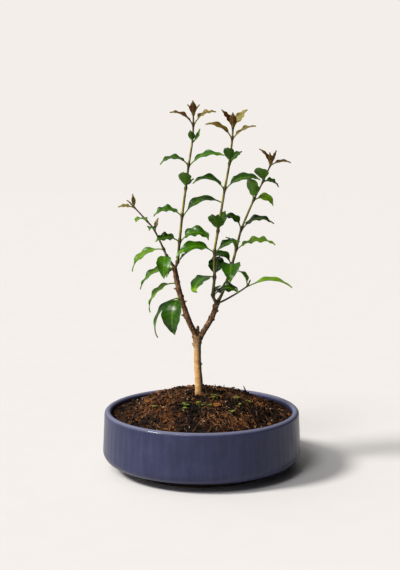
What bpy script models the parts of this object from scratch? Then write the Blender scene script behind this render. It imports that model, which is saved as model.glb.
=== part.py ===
"""A young bonsai tree in a shallow round glazed pot.

The pot is one turned piece of stoneware on a foot ring, with a drain hole that a plastic mesh covers.
The soil fills it and mounds up to the trunk. The tree forks into two limbs, which carry five leafy
shoots with their leaves in opposite pairs. Sizes are in millimetres until they become geometry.
The origin is the centre of the foot ring's underside, +Z is up and the front of the tree faces -Y.
"""

import math

import bmesh
import bpy
from mathutils import Matrix, Vector

MM = 0.001  # the scene is in metres
GAP = 0.3  # clearance between pieces that touch

# Pot
POT_RADIUS = 85.0  # the widest part of the wall, just above the foot
POT_HEIGHT = 51.0
WALL = 6.0
WALL_LEAN = 1.5  # how far the wall draws in between its foot and its rim
FLOOR = 6.0
FOOT_HEIGHT = 6.0
FOOT_RADIUS = 63.0
FOOT_WIDTH = 8.0
CORNER_RADIUS = 9.0  # outside, between wall and underside
INNER_CORNER = 7.0
POT_STEPS = 56

# Drain hole and its mesh
DRAIN_RADIUS = 9.0
MESH_CELLS = 4  # holes along each side
MESH_HOLE = 4.0
MESH_BAR = 1.4
MESH_THICK = 1.2

# Soil
SOIL_DROP = 6.0  # how far below the rim the soil meets the wall
MOAT_WIDTH = 13.0  # the level watering ring next to the wall
MOUND_RISE = 14.0  # how far above the rim the soil stands at the trunk
MOUND_FULLNESS = 0.65  # less than 1 gives the mound a flatter top
SOIL_RINGS = 7
SOIL_STEPS = 40
SEEDLING_HEIGHT = 5.0
SEEDLING_WIDTH = 4.0

# Tree
TREE_HEIGHT = 247.0  # from the soil at the trunk to the highest bud
DRAWN_HEIGHT = 247.0  # the height that the routes below are drawn at
TRUNK_X = -2.5
TRUNK_RADIUS = 3.5
FORK_RADIUS = 4.2
ROOT_DEPTH = 22.0
TRUNK_SIDES = 12
STEM_SIDES = 8
BUD_SHAPE = [(0.3, 2.2), (0.65, 1.6), (1.0, 0.2)]  # shares of the bud's length, and of the shoot's radius
PETIOLE = 0.55  # radius of a leaf's stalk
LONGEST_STALK = 4.0
LEAF_THICK = 0.9  # at the midrib
BLADE_FOLD = 0.25  # how much each half of a blade rises from the midrib, for its width
LEAF_STATIONS = 9

# Routes run through (x, y, z) from the soil's surface at the trunk.
TRUNK_ROUTE = [(0, 0, -ROOT_DEPTH), (0, 0, -10), (0.5, 0, 0), (-1, 0, 25), (-1.3, 0, 41), (-1.3, 0, 50)]

# Stems that are one piece with the trunk: route, and radius at both ends.
LIMBS = {
    "left_limb": {
        "route": [
            (-1.5, 0, 47), (-4.8, -1, 55), (-8.6, -2, 63.5), (-15.2, -3.2, 83.5),
            (-18, -4.2, 96), (-20.5, -5, 109),
        ],
        "radius": (2.6, 2.2),
    },
    "right_limb": {
        "route": [(-0.8, 0, 46), (3.5, 0.5, 52.5), (10, 1, 63.5), (13.3, 1, 71), (15.2, 1, 77.5)],
        "radius": (2.5, 2.4),
    },
    "pruned_stub": {
        "route": [(-1, 0, 49), (-0.8, 0, 54), (-0.8, 0, 57.5)],
        "radius": (1.6, 1.3),
    },
}

# Shoots grow from a limb's rounded end: the route after that, the radius at both ends, and the length
# of the bud that each one ends in.
SHOOTS = {
    "left": {
        "limb": "left_limb",
        "route": [
            (-18, -4, 114), (-16.2, -2, 131), (-14, 0, 152.5), (-11, 3, 175.5),
            (-8.5, 5, 194.5), (-5.5, 6, 214), (-4.6, 7, 228), (-4.6, 7, 236),
        ],
        "radius": (1.3, 0.7),
        "bud": 11,
    },
    "side": {
        "limb": "left_limb",
        "route": [(-27, -4, 119), (-29.6, -2, 124.5), (-37.3, 3, 139.5), (-44, 7, 147.5), (-54.8, 12, 158.5)],
        "radius": (1.1, 0.6),
        "bud": 10,
    },
    "centre": {
        "limb": "right_limb",
        "route": [
            (12, -3, 85.5), (13.2, -5, 101), (13.2, -7, 122.5), (16, -8, 140.5),
            (21.6, -9, 175.5), (25.4, -9, 197), (27.7, -9, 217.5), (28.2, -9, 226.5),
        ],
        "radius": (1.4, 0.75),
        "bud": 10,
    },
    "right": {
        "limb": "right_limb",
        "route": [
            (20.7, 3, 88), (28.1, 5, 110), (31.8, 7, 123.5), (36.3, 9, 140.5),
            (46.5, 10, 165), (54.2, 10, 180.5), (60.5, 10, 194.5),
        ],
        "radius": (1.4, 0.65),
        "bud": 12,
    },
    "low": {
        "limb": "right_limb",
        "route": [(21, -2, 80.5), (28.2, -5, 85), (35.4, -8, 90), (41, -10, 94.5), (42.2, -10, 97)],
        "radius": (0.9, 0.55),
        "bud": 3,
    },
}

# Each leaf: its stem, the corner of the stem's route that it grows at (0 is the stem's start), a letter,
# its heading (0 is +X, 90 is away from the front), its rise at the stem and its pitch at the tip, its
# length and width, and how far the blade's front edge is tilted down. Angles are in degrees. They are
# grouped by the colour that their age gives them.
LEAVES = {
    "leaf_green": [
        ("left", 5, "a", 185, 60, -60, 28, 10, 18),
        ("left", 5, "b", 355, 52, -22, 33, 10, 20),
        ("left", 4, "a", 262, 84, 0, 22, 13, 0),
        ("left", 4, "b", 80, 50, -20, 20, 11, 0),
        ("left", 3, "a", 178, 48, -52, 27, 11, 18),
        ("left", 3, "b", 5, 58, -22, 39, 12, 20),
        ("left", 2, "a", 195, 45, -45, 22, 11, 25),
        ("left", 2, "b", 350, 55, -45, 30, 12, 35),
        ("left", 1, "b", 350, 70, 20, 14, 7, 20),
        ("centre", 6, "a", 262, 84, 0, 22, 13, 0),
        ("centre", 6, "b", 45, 55, 10, 18, 9, 0),
        ("centre", 5, "a", 178, 60, -42, 31, 11, 20),
        ("centre", 5, "b", 355, 58, -28, 33, 11, 20),
        ("centre", 4, "a", 250, 80, 10, 22, 14, 0),
        ("centre", 4, "b", 62, 70, 30, 21, 11, 0),
        ("centre", 3, "a", 193, 40, -55, 37, 12, 30),
        ("centre", 3, "b", 350, 55, -5, 24, 11, 30),
        ("centre", 2, "a", 215, 28, -98, 29, 16, 5),
        ("centre", 2, "b", 75, 75, 10, 24, 14, 0),
        ("centre", 1, "b", 335, 50, -35, 26, 12, 30),
        ("right", 6, "a", 250, 84, 0, 19, 13, 0),
        ("right", 6, "b", 15, 30, -70, 16, 10, 20),
        ("right", 5, "a", 235, 85, 50, 24, 15, 0),
        ("right", 4, "a", 172, 80, -20, 22, 9, 25),
        ("right", 4, "b", 5, 55, -40, 32, 10, 20),
        ("right", 3, "a", 200, 85, 10, 15, 10, 0),
        ("right", 2, "a", 265, 30, -85, 31, 17, 0),
        ("right", 2, "b", 175, 80, -60, 24, 11, 25),
        ("side", 1, "a", 262, 5, -112, 28, 15, 0),
        ("left_limb", 3, "a", 243, -5, -148, 39, 19, 0),
        ("left_limb", 3, "b", 178, -8, -120, 45, 9, 25),
    ],
    "leaf_lime": [
        ("right", 5, "b", 355, 40, -75, 20, 10, 30),
        ("right", 3, "b", 355, 48, -34, 36, 10, 20),
        ("side", 4, "a", 225, 40, -40, 14, 9, 0),
        ("side", 2, "a", 182, 12, -85, 36, 11, 25),
        ("left_limb", 5, "a", 182, 15, -85, 36, 10, 25),
        ("left_limb", 4, "a", 182, 5, -105, 38, 10, 25),
        ("low", 4, "a", 355, 26, -28, 40, 10, 12),
        ("low", 4, "b", 165, 88, 20, 17, 9, 0),
    ],
    "leaf_copper": [
        ("left", 7, "a", 190, 70, -15, 24, 8, 25),
        ("left", 7, "b", 350, 70, -10, 24, 8, 25),
        ("centre", 7, "a", 185, 70, -15, 27, 8, 25),
        ("centre", 7, "b", 350, 60, -5, 23, 8, 25),
        ("centre", 8, "a", 155, 72, 40, 18, 7, 20),
        ("centre", 8, "b", 25, 68, 30, 20, 8, 20),
        ("right", 7, "a", 165, 75, 35, 17, 7, 20),
        ("right", 7, "b", 350, 40, -25, 18, 7, 20),
        ("side", 5, "a", 190, 30, -25, 14, 6, 20),
    ],
}

# Seedlings that came up in the soil, as (x, y) from the pot's centre.
SEEDLINGS = [(8, -32), (-14, -36), (30, -24)]

rim_inner = POT_RADIUS - WALL_LEAN - WALL
floor_top = FOOT_HEIGHT + FLOOR
soil_edge = POT_HEIGHT - SOIL_DROP
tree_scale = TREE_HEIGHT / DRAWN_HEIGHT
collar = Vector((TRUNK_X, 0, POT_HEIGHT + MOUND_RISE))


def clear_scene():
    for obj in list(bpy.data.objects):
        bpy.data.objects.remove(obj)


def material(name, colour, roughness):
    made = bpy.data.materials.new(name)
    made.use_nodes = True
    shader = made.node_tree.nodes["Principled BSDF"]
    shader.inputs["Base Color"].default_value = (*colour, 1)
    shader.inputs["Roughness"].default_value = roughness
    shader.inputs["Metallic"].default_value = 0
    return made


def add_object(name, bm, finish):
    """A mesh object from a bmesh in millimetres."""
    bmesh.ops.scale(bm, vec=(MM, MM, MM), verts=bm.verts)
    bmesh.ops.recalc_face_normals(bm, faces=bm.faces)
    mesh = bpy.data.meshes.new(name)
    bm.to_mesh(mesh)
    bm.free()
    mesh.materials.append(finish)
    mesh.shade_smooth()
    mesh.set_sharp_from_angle(angle=math.radians(40))
    obj = bpy.data.objects.new(name, mesh)
    bpy.context.scene.collection.objects.link(obj)
    return obj


def arc(centre, radius, start, end, steps):
    """Points (r, z) on an arc of a turned profile, with angles in degrees."""
    angles = [math.radians(start + (end - start) * i / steps) for i in range(steps + 1)]
    return [(centre[0] + radius * math.cos(a), centre[1] + radius * math.sin(a)) for a in angles]


def turned(profile, steps, closed):
    """A bmesh turned about +Z. An open profile starts and ends on the axis."""
    bm = bmesh.new()
    rings = []
    for r, z in profile:
        if r == 0:
            rings.append([bm.verts.new((0, 0, z))] * steps)
            continue
        turns = [2 * math.pi * i / steps for i in range(steps)]
        rings.append([bm.verts.new((r * math.cos(t), r * math.sin(t), z)) for t in turns])
    pairs = list(zip(rings, rings[1:]))
    if closed:
        pairs.append((rings[-1], rings[0]))
    for low, high in pairs:
        for i in range(steps):
            j = (i + 1) % steps
            corners = list(dict.fromkeys((low[i], low[j], high[j], high[i])))
            bm.faces.new(corners)
    return bm


def pot_profile():
    """The pot's section: up the inside, over the rim, down the wall and along the foot ring."""
    lip = WALL / 2
    wall_foot = FOOT_HEIGHT + 1.5
    rim_outer = rim_inner + WALL
    inner_floor_corner = (rim_inner - INNER_CORNER, floor_top + INNER_CORNER)
    outer_corner = (POT_RADIUS - CORNER_RADIUS, wall_foot + CORNER_RADIUS)
    foot_inner = FOOT_RADIUS - FOOT_WIDTH
    return [
        (DRAIN_RADIUS, FOOT_HEIGHT),
        (DRAIN_RADIUS, floor_top),
        *arc(inner_floor_corner, INNER_CORNER, -90, 0, 3),
        *arc((rim_inner + lip, POT_HEIGHT - lip), lip, 180, 0, 6),
        (rim_outer + WALL_LEAN * 0.6, (POT_HEIGHT + wall_foot) / 2),
        *arc(outer_corner, CORNER_RADIUS, 0, -90, 5),
        (FOOT_RADIUS, wall_foot),
        (FOOT_RADIUS - 1, 0),
        (foot_inner + 1, 0),
        (foot_inner, FOOT_HEIGHT),
    ]


def make_pot(glaze):
    return add_object("pot", turned(pot_profile(), POT_STEPS, closed=True), glaze)


def mesh_side():
    return MESH_CELLS * MESH_HOLE + (MESH_CELLS + 1) * MESH_BAR


def make_drain_mesh(plastic):
    """A square of plastic mesh lying on the floor over the drain hole."""
    lines = [0.0]
    for _ in range(MESH_CELLS):
        lines += [lines[-1] + MESH_BAR, lines[-1] + MESH_BAR + MESH_HOLE]
    lines.append(lines[-1] + MESH_BAR)
    half = mesh_side() / 2
    base = floor_top + GAP
    bm = bmesh.new()
    grid = [[bm.verts.new((x - half, y - half, base)) for x in lines] for y in lines]
    for row in range(len(lines) - 1):
        for column in range(len(lines) - 1):
            if row % 2 and column % 2:
                continue  # a hole
            near, far = grid[row], grid[row + 1]
            bm.faces.new((near[column], near[column + 1], far[column + 1], far[column]))
    lifted = bmesh.ops.extrude_face_region(bm, geom=bm.faces[:])
    top = [v for v in lifted["geom"] if isinstance(v, bmesh.types.BMVert)]
    bmesh.ops.translate(bm, vec=(0, 0, MESH_THICK), verts=top)
    return add_object("drain_mesh", bm, plastic)


def soil_height(radius):
    """The soil's surface above the foot: level in the watering ring, then mounding up to the trunk."""
    ring_starts = rim_inner - MOAT_WIDTH
    if radius >= ring_starts:
        return soil_edge
    share = 1 - radius / ring_starts
    return soil_edge + (SOIL_DROP + MOUND_RISE) * math.sin(share * math.pi / 2) ** MOUND_FULLNESS


def make_soil(earth):
    """The soil's body, with a pocket for the drain mesh below and the trunk's socket cut by a modifier."""
    outer = rim_inner - GAP
    corner = INNER_CORNER
    bottom = floor_top + GAP
    pocket_radius = mesh_side() / math.sqrt(2) + GAP
    pocket_top = bottom + MESH_THICK + GAP
    profile = [
        (0, pocket_top),
        (pocket_radius, pocket_top),
        (pocket_radius, bottom),
        *arc((rim_inner - corner, floor_top + corner), corner - GAP, -90, 0, 3),
        (outer, soil_edge),
    ]
    ring_starts = rim_inner - MOAT_WIDTH
    profile += [(r, soil_height(r)) for r in (ring_starts * (1 - i / SOIL_RINGS) for i in range(SOIL_RINGS))]
    profile.append((0, soil_height(0)))
    soil = add_object("soil", turned(profile, SOIL_STEPS, closed=False), earth)
    cut(soil, trunk_socket())
    return soil


def trunk_socket():
    """The cutter for the hole that the trunk and its root stand in."""
    route, radii = trunk_line()
    wide = [r + GAP for r in radii]
    deep = [route[0] - Vector((0, 0, GAP)), *route[1:]]
    cutter = add_object("trunk_socket", tube(deep, wide, TRUNK_SIDES), material("guide", (1, 0, 0), 1))
    cutter.hide_render = True
    cutter.display_type = "WIRE"
    return cutter


def cut(obj, cutter):
    boolean = obj.modifiers.new("cut", "BOOLEAN")
    boolean.operation = "DIFFERENCE"
    boolean.object = cutter


def placed(route):
    """A route of the tree in the pot's frame, at the tree's height."""
    return [collar + tree_scale * Vector(p) for p in route]


def smooth_line(points, per_span):
    """A Catmull-Rom line through the points."""
    ends = [2 * points[0] - points[1], *points, 2 * points[-1] - points[-2]]
    line = []
    for a, b, c, d in zip(ends, ends[1:], ends[2:], ends[3:]):
        for i in range(per_span):
            t = i / per_span
            squared, cubed = (2 * a - 5 * b + 4 * c - d) * t**2, (3 * b - a - 3 * c + d) * t**3
            line.append(0.5 * (2 * b + (c - a) * t + squared + cubed))
    line.append(points[-1])
    return line


def tube(line, radii, sides):
    """A closed tube along a line, its rings turned as little as possible from one to the next."""
    bm = bmesh.new()
    spans = [(b - a).normalized() for a, b in zip(line, line[1:])]
    tangents = [spans[0], *[(a + b).normalized() for a, b in zip(spans, spans[1:])], spans[-1]]
    across = tangents[0].orthogonal()
    turns = [2 * math.pi * i / sides for i in range(sides)]
    rings = []
    for point, tangent, radius in zip(line, tangents, radii):
        across = (across - across.dot(tangent) * tangent).normalized()
        beside = tangent.cross(across)
        ring = [point + radius * (math.cos(t) * across + math.sin(t) * beside) for t in turns]
        rings.append([bm.verts.new(corner) for corner in ring])
    for low, high in zip(rings, rings[1:]):
        for i in range(sides):
            j = (i + 1) % sides
            bm.faces.new((low[i], low[j], high[j], high[i]))
    bm.faces.new(reversed(rings[0]))
    bm.faces.new(rings[-1])
    return bm


def trunk_line():
    """The trunk's line and radii, from the root's end up to the fork, where it swells."""
    route = placed(TRUNK_ROUTE)
    root_end, root, foot, middle, neck, fork = route
    radii = [TRUNK_RADIUS * s for s in (0.35, 0.8, 1.05, 0.9, 0.95)]
    return [root_end, root, foot, middle, neck, fork], [*radii, FORK_RADIUS]


def tapered(count, radius):
    return [radius[0] + (radius[1] - radius[0]) * i / (count - 1) for i in range(count)]


def make_trunk(bark):
    """The trunk, its two limbs and the pruned stub between them, grown as one piece."""
    route, radii = trunk_line()
    trunk = add_object("trunk", tube(route, radii, TRUNK_SIDES), bark)
    for name, limb in LIMBS.items():
        line = smooth_line(placed(limb["route"]), 2)
        radii = tapered(len(line), limb["radius"])
        round_end(line, radii)
        branch = add_object(name, tube(line, radii, STEM_SIDES), bark)
        branch.hide_render = True
        branch.display_type = "WIRE"
        join = trunk.modifiers.new(name, "BOOLEAN")
        join.operation = "UNION"
        join.object = branch
    return trunk


def round_end(line, radii):
    """Closes a stem's end with a dome, centred on the last point of its line."""
    centre, radius = line[-1], radii[-1]
    along = (line[-1] - line[-2]).normalized()
    for angle in (35, 70):
        line.append(centre + along * radius * math.sin(math.radians(angle)))
        radii.append(radius * math.cos(math.radians(angle)))


def shoot_route(shoot):
    """A shoot's corners, from where it leaves its limb's rounded end."""
    limb = LIMBS[shoot["limb"]]
    centre = placed(limb["route"])[-1]
    route = placed(shoot["route"])
    leaving = (route[0] - centre).normalized()
    return [centre + leaving * (limb["radius"][1] + GAP), *route]


def make_shoot(name, bark):
    """A shoot with its unopened bud, which swells and then runs out to a point."""
    shoot = SHOOTS[name]
    line = smooth_line(shoot_route(shoot), 2)
    radii = tapered(len(line), shoot["radius"])
    end, along = line[-1], (line[-1] - line[-2]).normalized()
    for share, swell in BUD_SHAPE:
        line.append(end + share * shoot["bud"] * along)
        radii.append(shoot["radius"][1] * swell)
    return add_object(f"shoot_{name}", tube(line, radii, STEM_SIDES), bark)


def node_of(stem, corner):
    """Where a corner of a stem's route is, the way the stem runs there, and its radius."""
    if stem in LIMBS:
        route, ends = placed(LIMBS[stem]["route"]), LIMBS[stem]["radius"]
    else:
        route, ends = shoot_route(SHOOTS[stem]), SHOOTS[stem]["radius"]
    after = min(corner + 1, len(route) - 1)
    along = (route[after] - route[corner - 1]).normalized()
    return route[corner], along, tapered(len(route), ends)[corner]


def blade_width(share):
    """An ovate leaf's width along its blade, as a share of its widest, with a drawn-out tip."""
    if not 0 < share < 1:
        return 0
    return math.sin(math.pi * share**0.8) ** 0.9 * (1 - 0.4 * share**3)


def leaf_solid(start, side, heading, rise, pitch, length, width, roll):
    """A leaf as a thin closed solid: a round stalk that opens into the blade, thickest at the midrib."""
    stalk = min(LONGEST_STALK, length * 0.14)
    step = length / (LEAF_STATIONS - 1)
    bm = bmesh.new()
    rings = []
    point = start
    for i in range(LEAF_STATIONS):
        share = i / (LEAF_STATIONS - 1)
        bend = math.radians(rise + (pitch - rise) * share)
        along = heading * math.cos(bend) + Vector((0, 0, math.sin(bend)))
        upper = along.cross(side)
        half = max(PETIOLE, blade_width((share * length - stalk) / (length - stalk)) * width / 2)
        raised = BLADE_FOLD * (half - PETIOLE)
        corners = [
            side * half + upper * raised,
            upper * LEAF_THICK / 2,
            -side * half + upper * raised,
            -upper * LEAF_THICK / 2,
        ]
        spin = Matrix.Rotation(math.radians(roll) * min(1, 3 * share), 3, along)
        if share == 1:
            rings.append([bm.verts.new(point)] * len(corners))
        else:
            rings.append([bm.verts.new(point + spin @ corner) for corner in corners])
        point = point + along * step
    bm.faces.new(reversed(rings[0]))
    for low, high in zip(rings, rings[1:]):
        for i in range(len(low)):
            j = (i + 1) % len(low)
            bm.faces.new(list(dict.fromkeys((low[i], low[j], high[j], high[i]))))
    return bm


def make_leaf(row, finish):
    """A leaf whose stalk starts square to its own direction, a gap away from the stem."""
    stem, corner, letter, heading, rise, pitch, length, width, tilt = row
    node, stem_along, stem_radius = node_of(stem, corner)
    turn, climb = math.radians(heading), math.radians(rise)
    out = Vector((math.cos(turn), math.sin(turn), 0))
    side = Vector((-math.sin(turn), math.cos(turn), 0))
    away = (out - out.dot(stem_along) * stem_along).normalized()
    leaving = out * math.cos(climb) + Vector((0, 0, math.sin(climb)))
    reach = PETIOLE * math.sqrt(max(0, 1 - leaving.dot(away) ** 2))  # the stalk's own reach back to the stem
    start = node + away * (stem_radius + GAP + reach)
    roll = tilt if out.x > 0 else -tilt
    solid = leaf_solid(start, side, out, rise, pitch, length * tree_scale, width * tree_scale, roll)
    return add_object(f"leaf_{stem}_{corner}{letter}", solid, finish)


def make_seedling(index, place, finish):
    """A seedling's pair of seed leaves on a short stalk, as one small solid standing on the soil."""
    x, y = place
    base = soil_height(math.hypot(x, y)) + GAP + 1.0
    heights = (0, SEEDLING_HEIGHT * 0.6, SEEDLING_HEIGHT * 0.75, SEEDLING_HEIGHT)
    widths = (0.5, 0.5, SEEDLING_WIDTH / 2, SEEDLING_WIDTH / 2 - 0.4)
    line = [Vector((x, y, base + h)) for h in heights]
    return add_object(f"seedling_{index}", tube(line, widths, 6), finish)


def main():
    clear_scene()
    glaze = material("slate_blue_glaze", (0.075, 0.08, 0.17), 0.35)
    plastic = material("black_plastic", (0.02, 0.02, 0.02), 0.6)
    earth = material("potting_soil", (0.06, 0.03, 0.015), 0.95)
    bark = material("bark", (0.42, 0.27, 0.12), 0.8)
    green_bark = material("green_bark", (0.2, 0.16, 0.04), 0.6)
    leaf_finishes = {
        "leaf_green": material("leaf_green", (0.045, 0.16, 0.012), 0.35),
        "leaf_lime": material("leaf_lime", (0.13, 0.24, 0.03), 0.4),
        "leaf_copper": material("leaf_copper", (0.16, 0.09, 0.025), 0.4),
    }
    seedling_green = material("seedling_green", (0.16, 0.3, 0.03), 0.5)
    make_pot(glaze)
    make_drain_mesh(plastic)
    make_soil(earth)
    make_trunk(bark)
    for name in SHOOTS:
        make_shoot(name, green_bark)
    for finish, rows in LEAVES.items():
        for row in rows:
            make_leaf(row, leaf_finishes[finish])
    for index, place in enumerate(SEEDLINGS, 1):
        make_seedling(index, place, seedling_green)


main()
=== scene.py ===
import math
import random

import bpy
import numpy as np
from mathutils import Matrix, Vector, noise


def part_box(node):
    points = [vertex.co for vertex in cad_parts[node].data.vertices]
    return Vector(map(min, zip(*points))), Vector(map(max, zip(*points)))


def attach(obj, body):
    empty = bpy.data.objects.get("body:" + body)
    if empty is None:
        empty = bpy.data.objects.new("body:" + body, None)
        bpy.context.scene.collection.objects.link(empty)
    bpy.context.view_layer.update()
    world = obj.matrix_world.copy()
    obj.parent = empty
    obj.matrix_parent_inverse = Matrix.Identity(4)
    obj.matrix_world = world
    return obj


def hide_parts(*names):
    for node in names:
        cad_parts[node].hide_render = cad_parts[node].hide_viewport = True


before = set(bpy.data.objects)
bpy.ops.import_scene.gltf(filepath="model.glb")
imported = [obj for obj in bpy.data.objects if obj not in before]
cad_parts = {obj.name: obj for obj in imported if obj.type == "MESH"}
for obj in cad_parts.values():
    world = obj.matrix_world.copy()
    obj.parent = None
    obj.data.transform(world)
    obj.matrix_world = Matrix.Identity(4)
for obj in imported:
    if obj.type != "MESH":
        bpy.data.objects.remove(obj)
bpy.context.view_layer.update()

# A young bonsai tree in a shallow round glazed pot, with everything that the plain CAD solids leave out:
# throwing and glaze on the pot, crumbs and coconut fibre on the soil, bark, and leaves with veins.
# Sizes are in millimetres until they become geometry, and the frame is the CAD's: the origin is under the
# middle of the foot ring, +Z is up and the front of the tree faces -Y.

MM = 0.001
UP = Vector((0, 0, 1))

# Pot
POT_STEPS = 432  # points round each ring, six to a flute
FLUTES = 72
FLUTE_DEPTH = 0.09
FLUTE_WEAR = 0.85  # how much shallower the flutes are on the front and back than on the sides
FLUTE_START = 4.0  # below the rim
FLUTE_FADE = 6.0  # and they take this far to reach their full depth
FLUTE_END = 3.0  # how far out on the lower corner they end
OUT_OF_TRUE = 0.12  # how oval the wheel left it
RIPPLE = 0.05  # and how uneven the hands did
WALL = 6.0
WALL_LEAN = 1.5  # how far the wall leans in from its widest place to its lip
WALL_BOW = (0.62, 0.55)  # where the wall's curve is drawn to, as shares of the lean and the height
FLOOR_TOP = 12.0
FOOT_HEIGHT = 6.0
FOOT_RADIUS = 63.0
FOOT_WIDTH = 8.0
UNDERCUT = 1.5  # how far the wall's lower edge is above the inside of the foot ring
OUTER_CORNER = 9.0
INNER_CORNER = 7.0
DRAIN_RADIUS = 9.0
BEVEL = 0.6  # at the drain hole and inside the foot ring
LIP_THINNING = 1.3  # how far below the rim's top the glaze has run thin
LIP_BREAK = 0.8  # how much paler the glaze breaks on the lip
RIDGE_BREAK = 0.06  # and on the ridges between the flutes

# Soil
SOIL_DROP = 6.0
MOAT_WIDTH = 13.0
MOUND_RISE = 14.0
MOUND_FULLNESS = 0.65  # less than 1 gives the mound a flatter top
SOIL_RINGS = 110
SOIL_STEPS = 400
SOIL_GAP = 0.3  # between the soil's underside and the pot's floor
CLOD, CRUMB, LUMP = 13, 3.1, 1.7  # the widths of its unevenness
CLOD_RISE, CRUMB_RISE, LUMP_RISE = 1.5, 0.9, 0.5
CREST_RISE = 1.0  # how far the soil is banked up behind the trunk
CREST_PLACE = (4, 24)
CREST_REACH = (42, 17)
BACK_RISE = 2.6  # how much nearer to the lip it is behind than in front
FIBRE_LENGTHS = (2.5, 8)
FIBRE_RADII = (0.08, 0.17)

# Tree
TRUNK_X = -2.5
TRUNK_RADIUS = 3.5
FORK_RISE = 46  # from the soil to the fork
FISSURE_DEPTH = 0.28
SCAR_DEPTH = 0.06
KNOB_RISE = 1.6  # how much the knobs of the list below stand out
BARK_VOXEL = 0.38
SHOOT_SIDES = 14
SPAN_STEPS = 12  # rings of a shoot between two corners of its route
JOINT_SWELL = 0.58
ROOT_SWELL = 0.35
BUD_LENGTH = 3.0
PETIOLE = 0.55  # radius of a leaf's stalk
LONGEST_STALK = 4.0
BLADE_FOLD = 0.25
LEAF_STATIONS = 44
LEAF_COLUMNS = 17  # across the upper face, from margin to margin
VEIN_PAIRS = 7
VEIN_SINK = 0.10
MARGIN, MIDDLE = 0.16, 0.10  # half a blade's thickness at its margin, and what the middle has more
KEEL, GROOVE = 0.34, 0.16  # how far the midrib stands out below and is sunk above
KEEL_WIDTH, RIB_WIDTH = 0.5, 0.35
RIB_SHADE, VEIN_SHADE, STALK_SHADE, TIP_SHADE = 0.28, 0.22, 0.6, 0.3  # how much paler each is

# Routes run through (x, y, z) from the soil's surface at the trunk, as in the CAD.
TRUNK_ROUTE = [(0, 0, -22), (0, 0, -10), (0.5, 0, 0), (-1, 0, 25), (-1.3, 0, 41), (-1.3, 0, 50)]
TRUNK_SWELL = (0.35, 0.9, 1.08, 0.88, 0.93, 1.2)
LIMBS = {
    "left_limb": {
        "route": [
            (-1.5, 0, 47), (-4.8, -1, 55), (-8.6, -2, 63.5), (-15.2, -3.2, 83.5),
            (-18, -4.2, 96), (-20.5, -5, 109),
        ],
        "radius": (2.6, 2.2),
    },
    "right_limb": {
        "route": [(-0.8, 0, 46), (3.5, 0.5, 52.5), (10, 1, 63.5), (13.3, 1, 71), (15.2, 1, 77.5)],
        "radius": (2.5, 2.4),
    },
    "pruned_stub": {
        "route": [(-1, 0, 49), (-0.8, 0, 54), (-0.8, 0, 57.5)],
        "radius": (1.6, 1.3),
    },
}
SHOOTS = {
    "left": {
        "limb": "left_limb",
        "route": [
            (-18, -4, 114), (-16.2, -2, 131), (-14, 0, 152.5), (-11, 3, 175.5),
            (-8.5, 5, 194.5), (-5.5, 6, 214), (-4.6, 7, 228), (-4.6, 7, 236),
        ],
        "radius": (1.3, 0.7),
    },
    "side": {
        "limb": "left_limb",
        "route": [
            (-27, -4, 119), (-29.6, -2, 124.5), (-37.3, 3, 139.5), (-44, 7, 147.5), (-54.8, 12, 158.5),
        ],
        "radius": (1.1, 0.6),
    },
    "centre": {
        "limb": "right_limb",
        "route": [
            (12, -3, 85.5), (13.2, -5, 101), (13.2, -7, 122.5), (16, -8, 140.5),
            (21.6, -9, 175.5), (25.4, -9, 197), (27.7, -9, 217.5), (28.2, -9, 226.5),
        ],
        "radius": (1.4, 0.75),
    },
    "right": {
        "limb": "right_limb",
        "route": [
            (20.7, 3, 88), (28.1, 5, 110), (31.8, 7, 123.5), (36.3, 9, 140.5),
            (46.5, 10, 165), (54.2, 10, 180.5), (60.5, 10, 194.5),
        ],
        "radius": (1.4, 0.65),
    },
    "low": {
        "limb": "right_limb",
        "route": [(21, -2, 80.5), (28.2, -5, 85), (35.4, -8, 90), (41, -10, 94.5), (42.2, -10, 97)],
        "radius": (0.9, 0.55),
    },
}

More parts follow.
